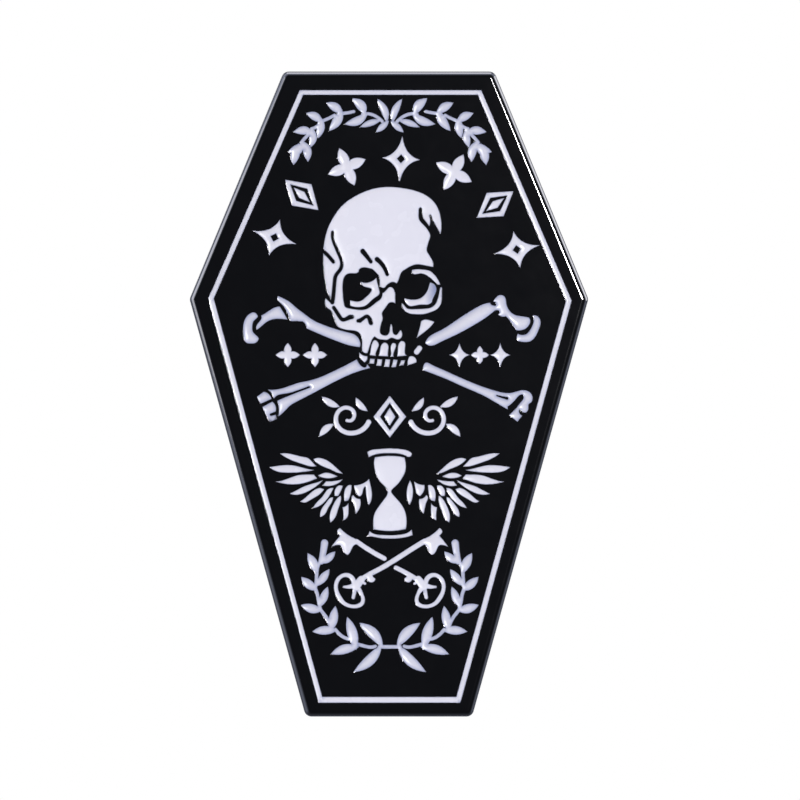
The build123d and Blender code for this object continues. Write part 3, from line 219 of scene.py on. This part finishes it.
def made_piece(name, blocks, material, smooth=None):
    """Joins blocks of points, normals and triangles, in millimetres, into one object in
    metres. Points in one place become one, each triangle is turned to face the way its
    normals do, and smooth, an angle, lets the mesh work out its own normals."""
    start = np.cumsum([0] + [len(block[0]) for block in blocks])
    place, facing = (np.concatenate([block[k] for block in blocks]) for k in (0, 1))
    triangles = np.concatenate([block[2] + start[k] for k, block in enumerate(blocks)])
    corner = place[triangles]
    across = np.cross(corner[:, 1] - corner[:, 0], corner[:, 2] - corner[:, 0])
    wrong = (across * facing[triangles].sum(1)).sum(1) < 0
    triangles[wrong] = triangles[wrong][:, ::-1]
    _, kept, onto = np.unique(
        np.round(place, 4), axis=0, return_index=True, return_inverse=True
    )
    onto = onto.ravel()
    triangles = onto[triangles]
    real = (triangles != np.roll(triangles, 1, 1)).all(1)
    normal = np.zeros((len(kept), 3))
    np.add.at(normal, onto, facing)
    mesh = bpy.data.meshes.new(name)
    mesh.from_pydata((place[kept] / 1000).tolist(), [], triangles[real].tolist())
    mesh.polygons.foreach_set("use_smooth", np.ones(len(mesh.polygons), bool))
    if smooth is None:
        normal /= np.maximum(np.linalg.norm(normal, axis=1), 1e-9)[:, None]
        mesh.normals_split_custom_set_from_vertices(normal.tolist())
    else:
        mesh.set_sharp_from_angle(angle=smooth)
    mesh.materials.append(material)
    piece = bpy.data.objects.new(name, mesh)
    bpy.context.scene.collection.objects.link(piece)
    return piece


def linear(hex_colour):
    """An sRGB hex colour as linear red, green, blue and alpha."""
    value = np.array([int(hex_colour[k:k + 2], 16) / 255 for k in (1, 3, 5)])
    light = np.where(value <= 0.04045, value / 12.92, ((value + 0.055) / 1.055) ** 2.4)
    return (*light.tolist(), 1.0)


def add(tree, kind, settings, links=None):
    """Adds a node to a material, sets its own settings and its sockets' values, and feeds
    its sockets from other nodes' outputs."""
    made = tree.nodes.new(kind)
    for name, value in settings.items():
        if isinstance(name, str) and hasattr(made, name):
            setattr(made, name, value)
        else:
            made.inputs[name].default_value = value
    for name, source in (links or {}).items():
        tree.links.new(source, made.inputs[name])
    return made


# Black plating over polished zinc alloy: a thin dark metal film, so it reflects about a
# seventh of the light face on and far more along its edges. The polish leaves a faint
# unevenness half a millimetre across; the back is left as the die's sandblasted face
# made it, with a grain of about a tenth of a millimetre.
black_plating = bpy.data.materials.new("black_plating_on_zinc_alloy")
black_plating.use_nodes = True
tree = black_plating.node_tree
plating = tree.nodes["Principled BSDF"]
plating.inputs["Metallic"].default_value = 1.0
plating.inputs["Base Color"].default_value = linear("#6c6b6d")
spot = add(tree, "ShaderNodeTexCoord", {}).outputs["Object"]
cloud = add(tree, "ShaderNodeTexNoise", {"Scale": 900.0, "Detail": 3.0}, {"Vector": spot})
wave = add(tree, "ShaderNodeTexNoise", {"Scale": 1700.0, "Detail": 1.0}, {"Vector": spot})
grain = add(tree, "ShaderNodeTexNoise", {"Scale": 9000.0, "Detail": 2.0}, {"Vector": spot})
rough = add(
    tree, "ShaderNodeMapRange", {"To Min": 0.08, "To Max": 0.12},
    {"Value": cloud.outputs["Fac"]},
)
facing = add(tree, "ShaderNodeNewGeometry", {})
parts = add(tree, "ShaderNodeSeparateXYZ", {}, {"Vector": facing.outputs["Normal"]})
behind = add(
    tree, "ShaderNodeMapRange", {"From Min": 0.6, "From Max": 0.9},
    {"Value": parts.outputs["Y"]},
)
rougher = add(
    tree, "ShaderNodeMix", {"data_type": "FLOAT", "B": 0.38},
    {"Factor": behind.outputs["Result"], "A": rough.outputs["Result"]},
)
tree.links.new(rougher.outputs["Result"], plating.inputs["Roughness"])
polish = add(
    tree, "ShaderNodeBump", {"Strength": 0.05, "Distance": 0.00005},
    {"Height": wave.outputs["Fac"]},
)
blast = add(
    tree, "ShaderNodeMath", {"operation": "MULTIPLY"},
    {0: grain.outputs["Fac"], 1: behind.outputs["Result"]},
)
blasted = add(
    tree, "ShaderNodeBump", {"Strength": 0.6, "Distance": 0.00003},
    {"Height": blast.outputs["Value"], "Normal": polish.outputs["Normal"]},
)
tree.links.new(blasted.outputs["Normal"], plating.inputs["Normal"])

outlines = {
    name: struck_outline(nodes[name]) for name in sorted(nodes) if name.startswith("enamel_")
}
rim, rim_out = coffin()
rim_edges = ring_edges(len(rim))[:, ::-1]
rim_profile = softened(
    [(-1, face_y), (0, face_y), (0, back_y), (-1, back_y)], [rim_radius, back_edge_radius], 9
)[1:-1]
plate_blocks = [carried(rim, rim_out, rim_edges, rim_profile)]

field, field_edges = [rim - rim_radius * rim_out], [rim_edges]
bed, bed_edges = [], []
wall = softened([(0, recess_floor), (0, face_y), (1, face_y)], [line_edge_radius], 4)[:-1]
used, bed_used = len(rim), 0
for points, edges, normals, mitre in outlines.values():
    plate_blocks.append(carried(points, normals, edges, wall, mitre))
    field.append(points + normals * (mitre * line_edge_radius)[:, None])
    field_edges.append(edges + used)
    bed.append(points)
    bed_edges.append(edges + bed_used)
    used += len(points)
    bed_used += len(points)
plate_blocks.append(level(np.concatenate(field), np.concatenate(field_edges), face_y, -1.0))
plate_blocks.append(level(np.concatenate(bed), np.concatenate(bed_edges), recess_floor, -1.0))

round_steps = 96
angle = np.linspace(0, 2 * math.pi, round_steps, endpoint=False)
circle = np.stack([np.cos(angle), np.sin(angle)], 1)
circle_edges = ring_edges(round_steps)
back, back_edges = [rim - back_edge_radius * rim_out], [rim_edges]
seat_wall = softened(
    [(1, back_y), (0, back_y), (0, back_y - seat_depth)], [line_edge_radius], 4
)[1:]
for k, height in enumerate((post_height, -post_height)):
    seat = seat_radius * circle + (0, height)
    plate_blocks.append(carried(seat, circle, circle_edges, seat_wall))
    plate_blocks.append(level(seat, circle_edges, back_y - seat_depth, 1.0))
    back.append(seat + line_edge_radius * circle)
    back_edges.append(circle_edges + len(rim) + round_steps * k)
plate_blocks.append(level(np.concatenate(back), np.concatenate(back_edges), back_y, 1.0))

plate = made_piece("struck_plate", plate_blocks, black_plating)
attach(plate, "pin")
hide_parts("base_plate")

# ----------------------------------------------------------------- the enamel
# Soft enamel: white paint dropped into each recess and baked. It shrinks as it bakes, so
# each pool wets its walls near their tops and sinks between them, and the slope round
# every line catches the light.

# A narrow pool sinks less than a wide one, and the skull and hourglass are filled nearly
# level.
pool_edge, pool_sink, full_pool_sink, wetting_length = 0.04, 0.37, 0.1, 0.36

# Painted shade: towards each wall the white is painted a cool grey blue to stand for the
# shade there, most of all in the bones and laurels. The right eye's highlight is also
# painted with shade that darkens towards its outer end.
edge_shade, edge_shade_length = 0.6, 0.03
bone_and_laurel_edge_shade, bone_and_laurel_shade_length = 0.72, 0.13
far_end_shade, far_end_shade_from, far_end_shade_to = 0.95, 2.1, 2.8

# Baked enamel is a hard, glossy, cool white paint. Its colour drifts slightly over about
# a millimetre and a half, and its skin has a faint orange peel of about half that.
white_enamel = bpy.data.materials.new("baked_white_enamel")
white_enamel.use_nodes = True
tree = white_enamel.node_tree
paint = tree.nodes["Principled BSDF"]
paint.inputs["IOR"].default_value = 1.5
spot = add(tree, "ShaderNodeTexCoord", {}).outputs["Object"]
cloud = add(tree, "ShaderNodeTexNoise", {"Scale": 700.0, "Detail": 2.0}, {"Vector": spot})
wave = add(tree, "ShaderNodeTexNoise", {"Scale": 1300.0, "Detail": 1.0}, {"Vector": spot})
tint = add(
    tree, "ShaderNodeMix", {"data_type": "RGBA", "A": linear("#e6e4ef"), "B": linear("#eceaf4")},
    {"Factor": cloud.outputs["Fac"]},
)
# Painted shade: the stored amount mixes the white towards a dark grey blue near each wall.
shade_amount_node = add(tree, "ShaderNodeAttribute", {"attribute_name": "thinness"})
seen = add(
    tree, "ShaderNodeMix", {"data_type": "RGBA", "B": linear("#7885b4")},
    {"Factor": shade_amount_node.outputs["Fac"], "A": tint.outputs["Result"]},
)
tree.links.new(seen.outputs["Result"], paint.inputs["Base Color"])
rough = add(
    tree, "ShaderNodeMapRange", {"To Min": 0.24, "To Max": 0.3},
    {"Value": cloud.outputs["Fac"]},
)
tree.links.new(rough.outputs["Result"], paint.inputs["Roughness"])
peel = add(
    tree, "ShaderNodeBump", {"Strength": 0.08, "Distance": 0.00006},
    {"Height": wave.outputs["Fac"]},
)
tree.links.new(peel.outputs["Normal"], paint.inputs["Normal"])


def off_the_wall(spots, points, edges, at_a_time=500):
    """How far each spot is from the nearest of the outline's edges: the distance to the
    edge's line, with the foot of it kept between the edge's two ends."""
    start, step = points[edges[:, 0]], points[edges[:, 1]] - points[edges[:, 0]]
    found = []
    for part in np.array_split(spots, 1 + len(spots) // at_a_time):
        away = part[:, None] - start
        foot = np.clip((away * step).sum(2) / (step * step).sum(1), 0, 1)
        found.append(np.linalg.norm(away - foot[:, :, None] * step, axis=2).min(1))
    return np.concatenate(found)


def spread(points, edges, gap, clear):
    """Staggered rows of points inside outlines, a gap apart and clear of the edges. The
    rows are nearer, so that the points make triangles with nearly equal sides."""
    low, high = points.min(0), points.max(0)
    row_gap = 0.87 * gap
    row, column = np.mgrid[0:(high[1] - low[1]) / row_gap, 0:(high[0] - low[0]) / gap]
    grid = np.stack([low[0] + gap * (column + 0.5 * (row % 2)), low[1] + row_gap * row], 2)
    grid = grid.reshape(-1, 2)
    grid = grid[inside(grid, points, edges)]
    return grid[off_the_wall(grid, points, edges) > clear]


def pool_points(points, edges, normals):
    """The outline's points, then rings of points at growing depths in from it, with any
    nearer to a wall than nine tenths of their depth left out, and beyond them an even
    spread of points. Of the points that fall in one small square, one is kept."""
    ring_depths = (0.025, 0.06, 0.11, 0.18, 0.27)
    spread_gap, spread_clear, square = 0.14, 0.34, 0.025
    kept = []
    for depth in ring_depths:
        ring = points - depth * normals
        ring = ring[inside(ring, points, edges)]
        kept.append(ring[off_the_wall(ring, points, edges) > 0.9 * depth])
    kept = np.concatenate([*kept, spread(points, edges, spread_gap, spread_clear)])
    _, first = np.unique(np.round(kept / square), axis=0, return_index=True)
    return np.concatenate([points, kept[np.sort(first)]])


def settled(spots, triangles, fixed, sink, rounds=400):
    """The depth of a wet surface held at its walls. Surface tension flattens it while
    shrinkage pulls it down, so each point's depth is the mean of its neighbours', weighted
    by the cotangents of the angles opposite, and of the sink's, weighted by its area over
    the square of the wetting length."""
    least_weight, most_weight = -0.2, 50
    one, two, weight = [], [], []
    size = np.zeros(len(spots))
    for k in range(3):
        here, left, right = (triangles[:, (k + j) % 3] for j in range(3))
        to_left, to_right = spots[left] - spots[here], spots[right] - spots[here]
        cross = np.abs(to_left[:, 0] * to_right[:, 1] - to_left[:, 1] * to_right[:, 0])
        one.append(left)
        two.append(right)
        weight.append((to_left * to_right).sum(1) / np.maximum(cross, 1e-9) / 2)
        np.add.at(size, here, cross / 6)    # a third of the triangle's area
    one, two, weight = np.concatenate(one), np.concatenate(two), np.concatenate(weight)
    weight = np.clip(weight, least_weight, most_weight)
    count, pull = len(spots), size / wetting_length ** 2
    total = np.bincount(one, weight, count) + np.bincount(two, weight, count) + pull
    total = np.maximum(total, 1e-6)
    depth = np.full(count, pool_edge)
    for _ in range(rounds):
        near = np.bincount(one, weight * depth[two], count)
        near += np.bincount(two, weight * depth[one], count)
        depth = (near + pull * sink) / total
        depth[:fixed] = pool_edge
    return depth


def mark_painted_shade(mesh, points, edges, at_wall, length, shaded_far_end=False):
    """Stores how much painted shade each point of a pool gets, from 0 to 1: it has the value
    given at the wall, and falls by a factor of e for each length away from the nearest
    wall. A pool with a shaded far end also grows darker from the one x to the other."""
    place = np.empty(3 * len(mesh.vertices))
    mesh.vertices.foreach_get("co", place)
    spots = 1000 * place.reshape(-1, 3)[:, [0, 2]]
    thinness = at_wall * np.exp(-off_the_wall(spots, points, edges) / length)
    if shaded_far_end:
        share = np.clip((spots[:, 0] - far_end_shade_from) / (far_end_shade_to - far_end_shade_from), 0, 1)
        thinness = np.maximum(thinness, far_end_shade * share)
    kept = mesh.attributes.new("thinness", "FLOAT", "POINT")
    kept.data.foreach_set("value", thinness.astype(np.float32))


for name, (points, edges, normals, mitre) in outlines.items():
    spots, triangles = filled(pool_points(points, edges, normals), edges)
    full = "skull" in name or "hourglass" in name
    depth = settled(spots, triangles, len(points), full_pool_sink if full else pool_sink)
    surface = np.stack([spots[:, 0], face_y + depth, spots[:, 1]], 1)
    up = np.tile((0.0, -1.0, 0.0), (len(spots), 1))
    skirt = [(0, face_y + pool_edge, 1, 0), (0, recess_floor, 1, 0)]
    pool = made_piece(name.replace("enamel_", "") + "_pool", [
        (surface, up, triangles),
        carried(points, normals, edges, skirt),
        level(points, edges, recess_floor, 1.0),
    ], white_enamel, smooth=math.radians(50))
    # The bones and laurels get a wider, stronger band of painted shade at their walls.
    if "bone" in name or "laurel" in name:
        mark_painted_shade(pool.data, points, edges, bone_and_laurel_edge_shade, bone_and_laurel_shade_length)
    else:
        shaded_far_end = name == "enamel_right_eye_highlight"
        mark_painted_shade(pool.data, points, edges, edge_shade, edge_shade_length, shaded_far_end)
    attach(pool, "pin")
    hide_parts(name)

# ------------------------------------------------------------------ the posts
# Each post is drawn steel wire with a round pad, turned down behind its point for the
# clutch's grip and nickel plated. Its pad is soldered in a shallow round in the back.

post_places = (("upper", post_height), ("lower", -post_height))
pad_radius, wire_radius, groove_radius, tip_radius = 2.0, 0.55, 0.35, 0.165
post_corners = [
    (0, -0.2), (pad_radius, -0.2), (pad_radius, 0.2), (wire_radius, 0.2),
    (wire_radius, 5.5), (groove_radius, 5.54), (groove_radius, 6.2), (wire_radius, 6.22),
    (wire_radius, 7.2), (tip_radius, 7.88), (0, 8.0),
]
post_rounding = [0.03, 0.08, 0.12, 0.03, 0.05, 0.05, 0.03, 0.25, 0.08]


def turned_round(corners, radii, steps, height):
    """A profile of radius and y, softened and carried round the axis of the post at a
    height: each ring of points is its radius times the unit circle, about the axis."""
    axis = np.tile((0.0, height), (round_steps, 1))
    return carried(axis, circle, circle_edges, softened(corners, radii, steps))


def metal_finish(name, colour, roughness, pattern, depth):
    """A bare or plated metal. Its pattern is how many waves of unevenness there are in a
    metre along x, y and z, which spread the roughness and stand up to depth, in metres."""
    metal = bpy.data.materials.new(name)
    metal.use_nodes = True
    tree = metal.node_tree
    shader = tree.nodes["Principled BSDF"]
    shader.inputs["Metallic"].default_value = 1.0
    shader.inputs["Base Color"].default_value = linear(colour)
    spot = add(tree, "ShaderNodeTexCoord", {}).outputs["Object"]
    waves = add(tree, "ShaderNodeMapping", {"Scale": pattern}, {"Vector": spot})
    uneven = add(
        tree, "ShaderNodeTexNoise", {"Scale": 1.0, "Detail": 3.0},
        {"Vector": waves.outputs["Vector"]},
    )
    smoothest, roughest = roughness
    rough = add(
        tree, "ShaderNodeMapRange",
        {"From Min": 0.3, "From Max": 0.7, "To Min": smoothest, "To Max": roughest},
        {"Value": uneven.outputs["Fac"]},
    )
    tree.links.new(rough.outputs["Result"], shader.inputs["Roughness"])
    relief = add(
        tree, "ShaderNodeBump", {"Strength": 0.5, "Distance": depth},
        {"Height": uneven.outputs["Fac"]},
    )
    tree.links.new(relief.outputs["Normal"], shader.inputs["Normal"])
    return metal


# Drawing leaves lines along the wire, about seven to a millimetre round it.
drawn_nickel = metal_finish(
    "nickel_on_drawn_steel_wire", "#cbc6bc", (0.16, 0.28), (7000, 500, 7000), 6e-6
)

for place_name, height in post_places:
    shape = turned_round(post_corners, post_rounding, 5, height)
    post = made_piece(f"{place_name}_nail_post", [shape], drawn_nickel)
    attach(post, "pin")
    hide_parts(f"{place_name}_post")

# ----------------------------------------------------------------- the solder
# A ring of soft solder fills the gap round each pad and climbs its side. It froze in a
# few slow waves, and has the dull, slightly grainy skin of tin alloy left as it cooled.

solder_corners = [
    (2.2, -0.2), (seat_radius, -0.2), (seat_radius, -0.05), (2.13, -0.02),
    (pad_radius, 0.1), (1.98, -0.2), (2.2, -0.2),
]
solder_rounding = [0.02, 0.02, 0.12, 0.02, 0.02]
slow_wave, quick_wave, settling = 0.014, 0.009, 0.012
waves_from, waves_rise = -0.15, 0.1
# Its grain is drawn about half a millimetre across, so that it shows.
dull_solder = metal_finish(
    "tin_solder_as_cooled", "#a9a9a8", (0.36, 0.55), (1800, 1800, 1800), 4e-5
)

for place_name, height in post_places:
    place, facing, triangles = turned_round(solder_corners, solder_rounding, 5, height)
    # two waves to a turn and five smaller ones, at full height a little above the seat
    round_it = np.arctan2(place[:, 2] - height, place[:, 0])
    waves = slow_wave * np.sin(2 * round_it + 1.1) + quick_wave * np.sin(5 * round_it + 0.4)
    place[:, 1] += np.clip((place[:, 1] - waves_from) / waves_rise, 0, 1) * (waves - settling)
    ring = made_piece(f"{place_name}_solder_ring", [(place, facing, triangles)], dull_solder)
    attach(ring, "pin")
    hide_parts(f"{place_name}_post_solder")

# ----------------------------------------------------------- the clutch discs
# Each disc is pressed from thin brass with a hole for the post, its edge rolled back over
# the spring. It is barrel plated in bright nickel, which leaves it faintly satiny.

hole_radius, lip_radius, hollow_radius, disc_radius = 0.7, 4.95, 5.4, 5.7
disc_front, disc_back, lip_front, lip_back = 2.3, 2.6, 3.07, 3.35
disc_corners = [
    (3.0, disc_front), (disc_radius, disc_front), (disc_radius, lip_back),
    (lip_radius, lip_back), (lip_radius, lip_front), (hollow_radius, lip_front),
    (hollow_radius, disc_back), (hole_radius, disc_back), (hole_radius, disc_front),
    (3.0, disc_front),
]
disc_rounding = [0.5, 0.5, 0.07, 0.07, 0.22, 0.22, 0.07, 0.07]
# The barrel's knocks leave soft unevenness about a millimetre across.
pressed_nickel = metal_finish(
    "bright_nickel_on_pressed_brass", "#d3cec2", (0.17, 0.27), (1100, 1100, 1100), 1.2e-5
)

for place_name, height in post_places:
    shape = turned_round(disc_corners, disc_rounding, 8, height)
    disc = made_piece(f"{place_name}_rolled_disc", [shape], pressed_nickel)
    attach(disc, f"{place_name}_disc")
    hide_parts(f"{place_name}_clutch_disc")

# ----------------------------------------------------------- the spring bases
# A leaf of spring brass across each disc, caught under its rolled edge, with a window
# over the post and four legs bent up from it to carry the wings.

spring_sheet, cut_edge = 0.25, 0.07
leaf_radius, leaf_half_width, leaf_y = 5.18, 3.3, 2.63
window_half_length, window_half_width, window_rounding = 1.9, 1.2, 0.4
leg_length, leg_half_width, leg_offset = 2.2, 0.45, 2.35
# Rolling leaves faint lines along the sheet, about a quarter of a millimetre apart.
rolled_nickel = metal_finish(
    "bright_nickel_on_rolled_brass", "#d0cabd", (0.16, 0.28), (300, 2500, 3800), 7e-6
)


def stamped(points, edges, gap):
    """A flat piece of the sheet cut to outlines, with its cut edges rounded. Its x and z
    are the outline's own, and y runs through the sheet from its middle."""
    normals, mitre = facing_out(points, edges)
    half = spring_sheet / 2
    edge = softened([(-1, -half), (0, -half), (0, half), (-1, half)], [cut_edge] * 2, 4)[1:-1]
    inner = points - normals * (mitre * cut_edge)[:, None]
    flat = np.concatenate([inner, spread(inner, edges, gap, 0.5 * gap)])
    return [
        carried(points, normals, edges, edge, mitre),
        level(flat, edges, -half, -1.0),
        level(flat, edges, half, 1.0),
    ]


def bent(blocks, run, degrees, start, steps=800):
    """Bends flat sheet that lies along x. The middle of the sheet follows a path whose
    direction is given at lengths along it: x and y are the sums of the direction's cosine
    and sine, and the sheet's thickness stands square to it."""
    along = np.linspace(0, run[-1], steps)
    heading = np.radians(np.interp(along, run, degrees))
    step = along[1] * np.stack([np.cos(heading), np.sin(heading)])
    x, y = np.array(start)[:, None] + np.cumsum(step, 1) - step
    made = []
    for place, facing, triangles in blocks:
        turn = np.interp(place[:, 0], along, heading)
        over, up = np.cos(turn), np.sin(turn)
        moved = np.stack([
            np.interp(place[:, 0], along, x) - up * place[:, 1],
            np.interp(place[:, 0], along, y) + over * place[:, 1],
            place[:, 2],
        ], 1)
        turned = np.stack([
            over * facing[:, 0] - up * facing[:, 1],
            up * facing[:, 0] + over * facing[:, 1],
            facing[:, 2],
        ], 1)
        made.append((moved, turned, triangles))
    return made


def set_at(blocks, side, shift):
    """Copies blocks to one side of a post: turned over left for right on side -1, and
    moved by a shift in x, y and z."""
    flip = (side, 1, 1)
    return [
        (place * flip + shift, facing * flip, triangles.copy())
        for place, facing, triangles in blocks
    ]


reach = math.asin(leaf_half_width / leaf_radius)
sweep = np.linspace(-reach, reach, 24)
sweep = np.concatenate([sweep, sweep + math.pi])
leaf_outer = leaf_radius * np.stack([np.cos(sweep), np.sin(sweep)], 1)
window = softened([
    (0, -window_half_width), (-window_half_length, -window_half_width),
    (-window_half_length, window_half_width), (window_half_length, window_half_width),
    (window_half_length, -window_half_width), (0, -window_half_width),
], [window_rounding] * 4, 8)[:-1, :2]
leaf_points, leaf_edges = divided(
    np.concatenate([leaf_outer, window]),
    np.concatenate([ring_edges(len(leaf_outer)), ring_edges(len(window)) + len(leaf_outer)]),
    longest=0.4,
)
leaf = stamped(leaf_points, leaf_edges, gap=0.5)
strip = softened([
    (0, 0), (0, -leg_half_width), (leg_length, -leg_half_width),
    (leg_length, leg_half_width), (0, leg_half_width), (0, 0),
], [0.05, 0.15, 0.15, 0.05], 5)
strip_points, strip_edges = divided(strip[:-1, :2], ring_edges(len(strip) - 1), longest=0.15)
# A leg rises square from the leaf and then leans back over it.
leg = bent(
    stamped(strip_points, strip_edges, gap=0.2),
    run=(0, 0.3, 0.45, 2.3), degrees=(90, 90, 122.5, 122.5), start=(2.575, 2.66),
)

for place_name, height in post_places:
    blocks = set_at(leaf, 1, (0, leaf_y + spring_sheet / 2, height))
    for side in (-1, 1):
        for end in (-1, 1):
            blocks += set_at(leg, side, (0, 0, height + leg_offset * end))
    spring = made_piece(f"{place_name}_spring_leaf", blocks, rolled_nickel)
    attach(spring, f"{place_name}_spring")
    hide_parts(f"{place_name}_clutch_spring_base")

# ------------------------------------------------------------------ the wings
# Each wing is bent from the same sheet: a tongue that lies along the post, hollowed to
# it, then a bend over the legs, and a broad tab with a round tip for a finger.

tongue_length, tongue_half_width, root_half_width, jaw_radius = 1.05, 0.85, 2.5, 0.6
tab_from, tip_length, tab_half_width, tip_squareness = 4.44, 1.37, 3.45, 2.6
lower_side = softened([
    (0, 0), (0, -tongue_half_width), (tongue_length, -tongue_half_width),
    (tongue_length, -root_half_width), (tab_from, -tab_half_width),
], [0.12, 0.15, 0.18], 6)[1:, :2]
# The tip is half of a squarish oval: its share of the length and its share of the width,
# each to the power of the squareness, add up to one.
share = np.sin(np.linspace(0, math.pi / 2, 26))
width_share = (1 - share ** tip_squareness) ** (1 / tip_squareness)
tip = np.stack([tab_from + tip_length * share, -tab_half_width * width_share], 1)[1:]
lower_half = np.concatenate([lower_side, tip])
pattern = np.concatenate([lower_half, (lower_half * (1, -1))[-2::-1]])
pattern_points, pattern_edges = divided(pattern, ring_edges(len(pattern)), longest=0.12)
wing = bent(
    stamped(pattern_points, pattern_edges, gap=0.12),
    run=(0, 0.7, 1.2, 1.6, 2.2, 5.3, 5.75, 5.9),
    degrees=(90, 90, 37, 30, 34, 33, 50, 52), start=(0.605, 3.23),
)
for place, facing, triangles in wing:
    jaw = np.sqrt(np.maximum(jaw_radius ** 2 - place[:, 2] ** 2, 0))
    place[:, 0] = np.maximum(place[:, 0], jaw)

for place_name, height in post_places:
    for side, hand in ((-1, "left"), (1, "right")):
        blocks = set_at(wing, side, (0, 0, height))
        tab = made_piece(f"{place_name}_{hand}_finger_tab", blocks, rolled_nickel)
        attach(tab, f"{place_name}_wing_{hand}")
        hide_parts(f"{place_name}_clutch_wing_{hand}")

# ------------------------------------------------------------------ the stage
# A plain pale floor below the pin, a small bright key lamp to the camera's right, and
# soft boxes level with the pin and behind it, which light its rounded edge but not its
# face, so the flat black metal mirrors the dark round the camera.


def softbox(name, place, side, brightness):
    """A square lamp of a given side, in metres, aimed at the pin. Its power gives the
    brightness asked for: pi times the area times the brightness."""
    lamp = bpy.data.lights.new(name, "AREA")
    lamp.shape, lamp.size = "SQUARE", side
    lamp.energy = math.pi * side * side * brightness
    made = bpy.data.objects.new(name, lamp)
    made.location = place
    made.rotation_euler = (-Vector(place)).to_track_quat("-Z", "Y").to_euler()
    bpy.context.scene.collection.objects.link(made)


softbox("key_softbox", (0.157, -0.363, 0.063), 0.06, 105.0)
softbox("left_softbox", (-0.34, -0.1, 0.04), 0.26, 1.9)
softbox("right_softbox", (0.36, 0.08, 0.08), 0.26, 3.2)
softbox("top_softbox", (0.0, 0.07, 0.36), 0.26, 2.2)
softbox("back_left_softbox", (-0.25, 0.4, 0.2), 0.2, 1.2)
softbox("back_right_softbox", (0.3, 0.36, 0.25), 0.2, 1.2)

floor_mesh = bpy.data.meshes.new("floor")
floor_reach, floor_front, floor_back, floor_z = 0.3, -0.03, 0.36, -0.06
floor_mesh.from_pydata([
    (-floor_reach, floor_front, floor_z), (floor_reach, floor_front, floor_z),
    (floor_reach, floor_back, floor_z), (-floor_reach, floor_back, floor_z),
], [], [(0, 1, 2, 3)])
floor_paint = bpy.data.materials.new("pale_floor")
floor_paint.use_nodes = True
shader = floor_paint.node_tree.nodes["Principled BSDF"]
shader.inputs["Base Color"].default_value = linear("#f4f4f5")
shader.inputs["Roughness"].default_value = 0.9
shader.inputs["Emission Color"].default_value = (1, 1, 1, 1)
shader.inputs["Emission Strength"].default_value = 0.25
floor_mesh.materials.append(floor_paint)
floor_piece = bpy.data.objects.new("floor", floor_mesh)
bpy.context.scene.collection.objects.link(floor_piece)
# The floor is kept out of mirror reflections, so that the pin's lower edge stays dark.
floor_piece.visible_glossy = False

world = bpy.data.worlds.new("studio")
bpy.context.scene.world = world
world.use_nodes = True
tree = world.node_tree
tree.nodes.clear()
# The room is dark round the camera. It lightens to the sides and upwards, and dims again
# behind the pin.
direction = add(tree, "ShaderNodeTexCoord", {}).outputs["Generated"]
parts = add(tree, "ShaderNodeSeparateXYZ", {}, {"Vector": direction})
height_level = add(
    tree, "ShaderNodeMapRange",
    {"From Min": -0.8, "From Max": 0.2, "To Min": 0.15, "To Max": 1.5},
    {"Value": parts.outputs["Z"]},
)
leftward = add(
    tree, "ShaderNodeMath", {"operation": "MULTIPLY_ADD", 1: -0.25},
    {0: parts.outputs["X"], 2: parts.outputs["Y"]},
)
beside = add(
    tree, "ShaderNodeMapRange",
    {"interpolation_type": "SMOOTHSTEP", "From Min": -0.72, "From Max": 0.1},
    {"Value": leftward.outputs["Value"]},
)
behind = add(
    tree, "ShaderNodeMapRange",
    {"interpolation_type": "SMOOTHSTEP", "From Min": 0.0, "From Max": 0.6},
    {"Value": parts.outputs["Y"]},
)
room_level = add(
    tree, "ShaderNodeMix", {"data_type": "FLOAT", "B": 0.3},
    {"Factor": behind.outputs["Result"], "A": height_level.outputs["Result"]},
)
brightness = add(
    tree, "ShaderNodeMix", {"data_type": "FLOAT", "A": 0.035},
    {"Factor": beside.outputs["Result"], "B": room_level.outputs["Result"]},
)
room = add(
    tree, "ShaderNodeBackground", {"Color": (0.84, 0.92, 1.14, 1.0)},
    {"Strength": brightness.outputs["Result"]},
)
paper = add(tree, "ShaderNodeBackground", {"Color": (1.0, 1.0, 1.0, 1.0), "Strength": 1.0})
ray = add(tree, "ShaderNodeLightPath", {})
both = add(tree, "ShaderNodeMixShader", {}, {
    0: ray.outputs["Is Camera Ray"],
    1: room.outputs["Background"], 2: paper.outputs["Background"],
})
add(tree, "ShaderNodeOutputWorld", {}, {"Surface": both.outputs["Shader"]})

# A long lens, square on to the face, far enough off that the plate's sides don't show.
lens = bpy.data.cameras.new("long_lens")
lens.lens, lens.sensor_width = 200.0, 36.0
lens.clip_start, lens.clip_end = 0.01, 10.0
camera = bpy.data.objects.new("camera", lens)
camera.location = (0.00065, -0.263, -0.00035)
camera.rotation_euler = (math.pi / 2, 0, 0)
bpy.context.scene.collection.objects.link(camera)
bpy.context.scene.camera = camera
bpy.context.scene.view_settings.view_transform = "Standard"
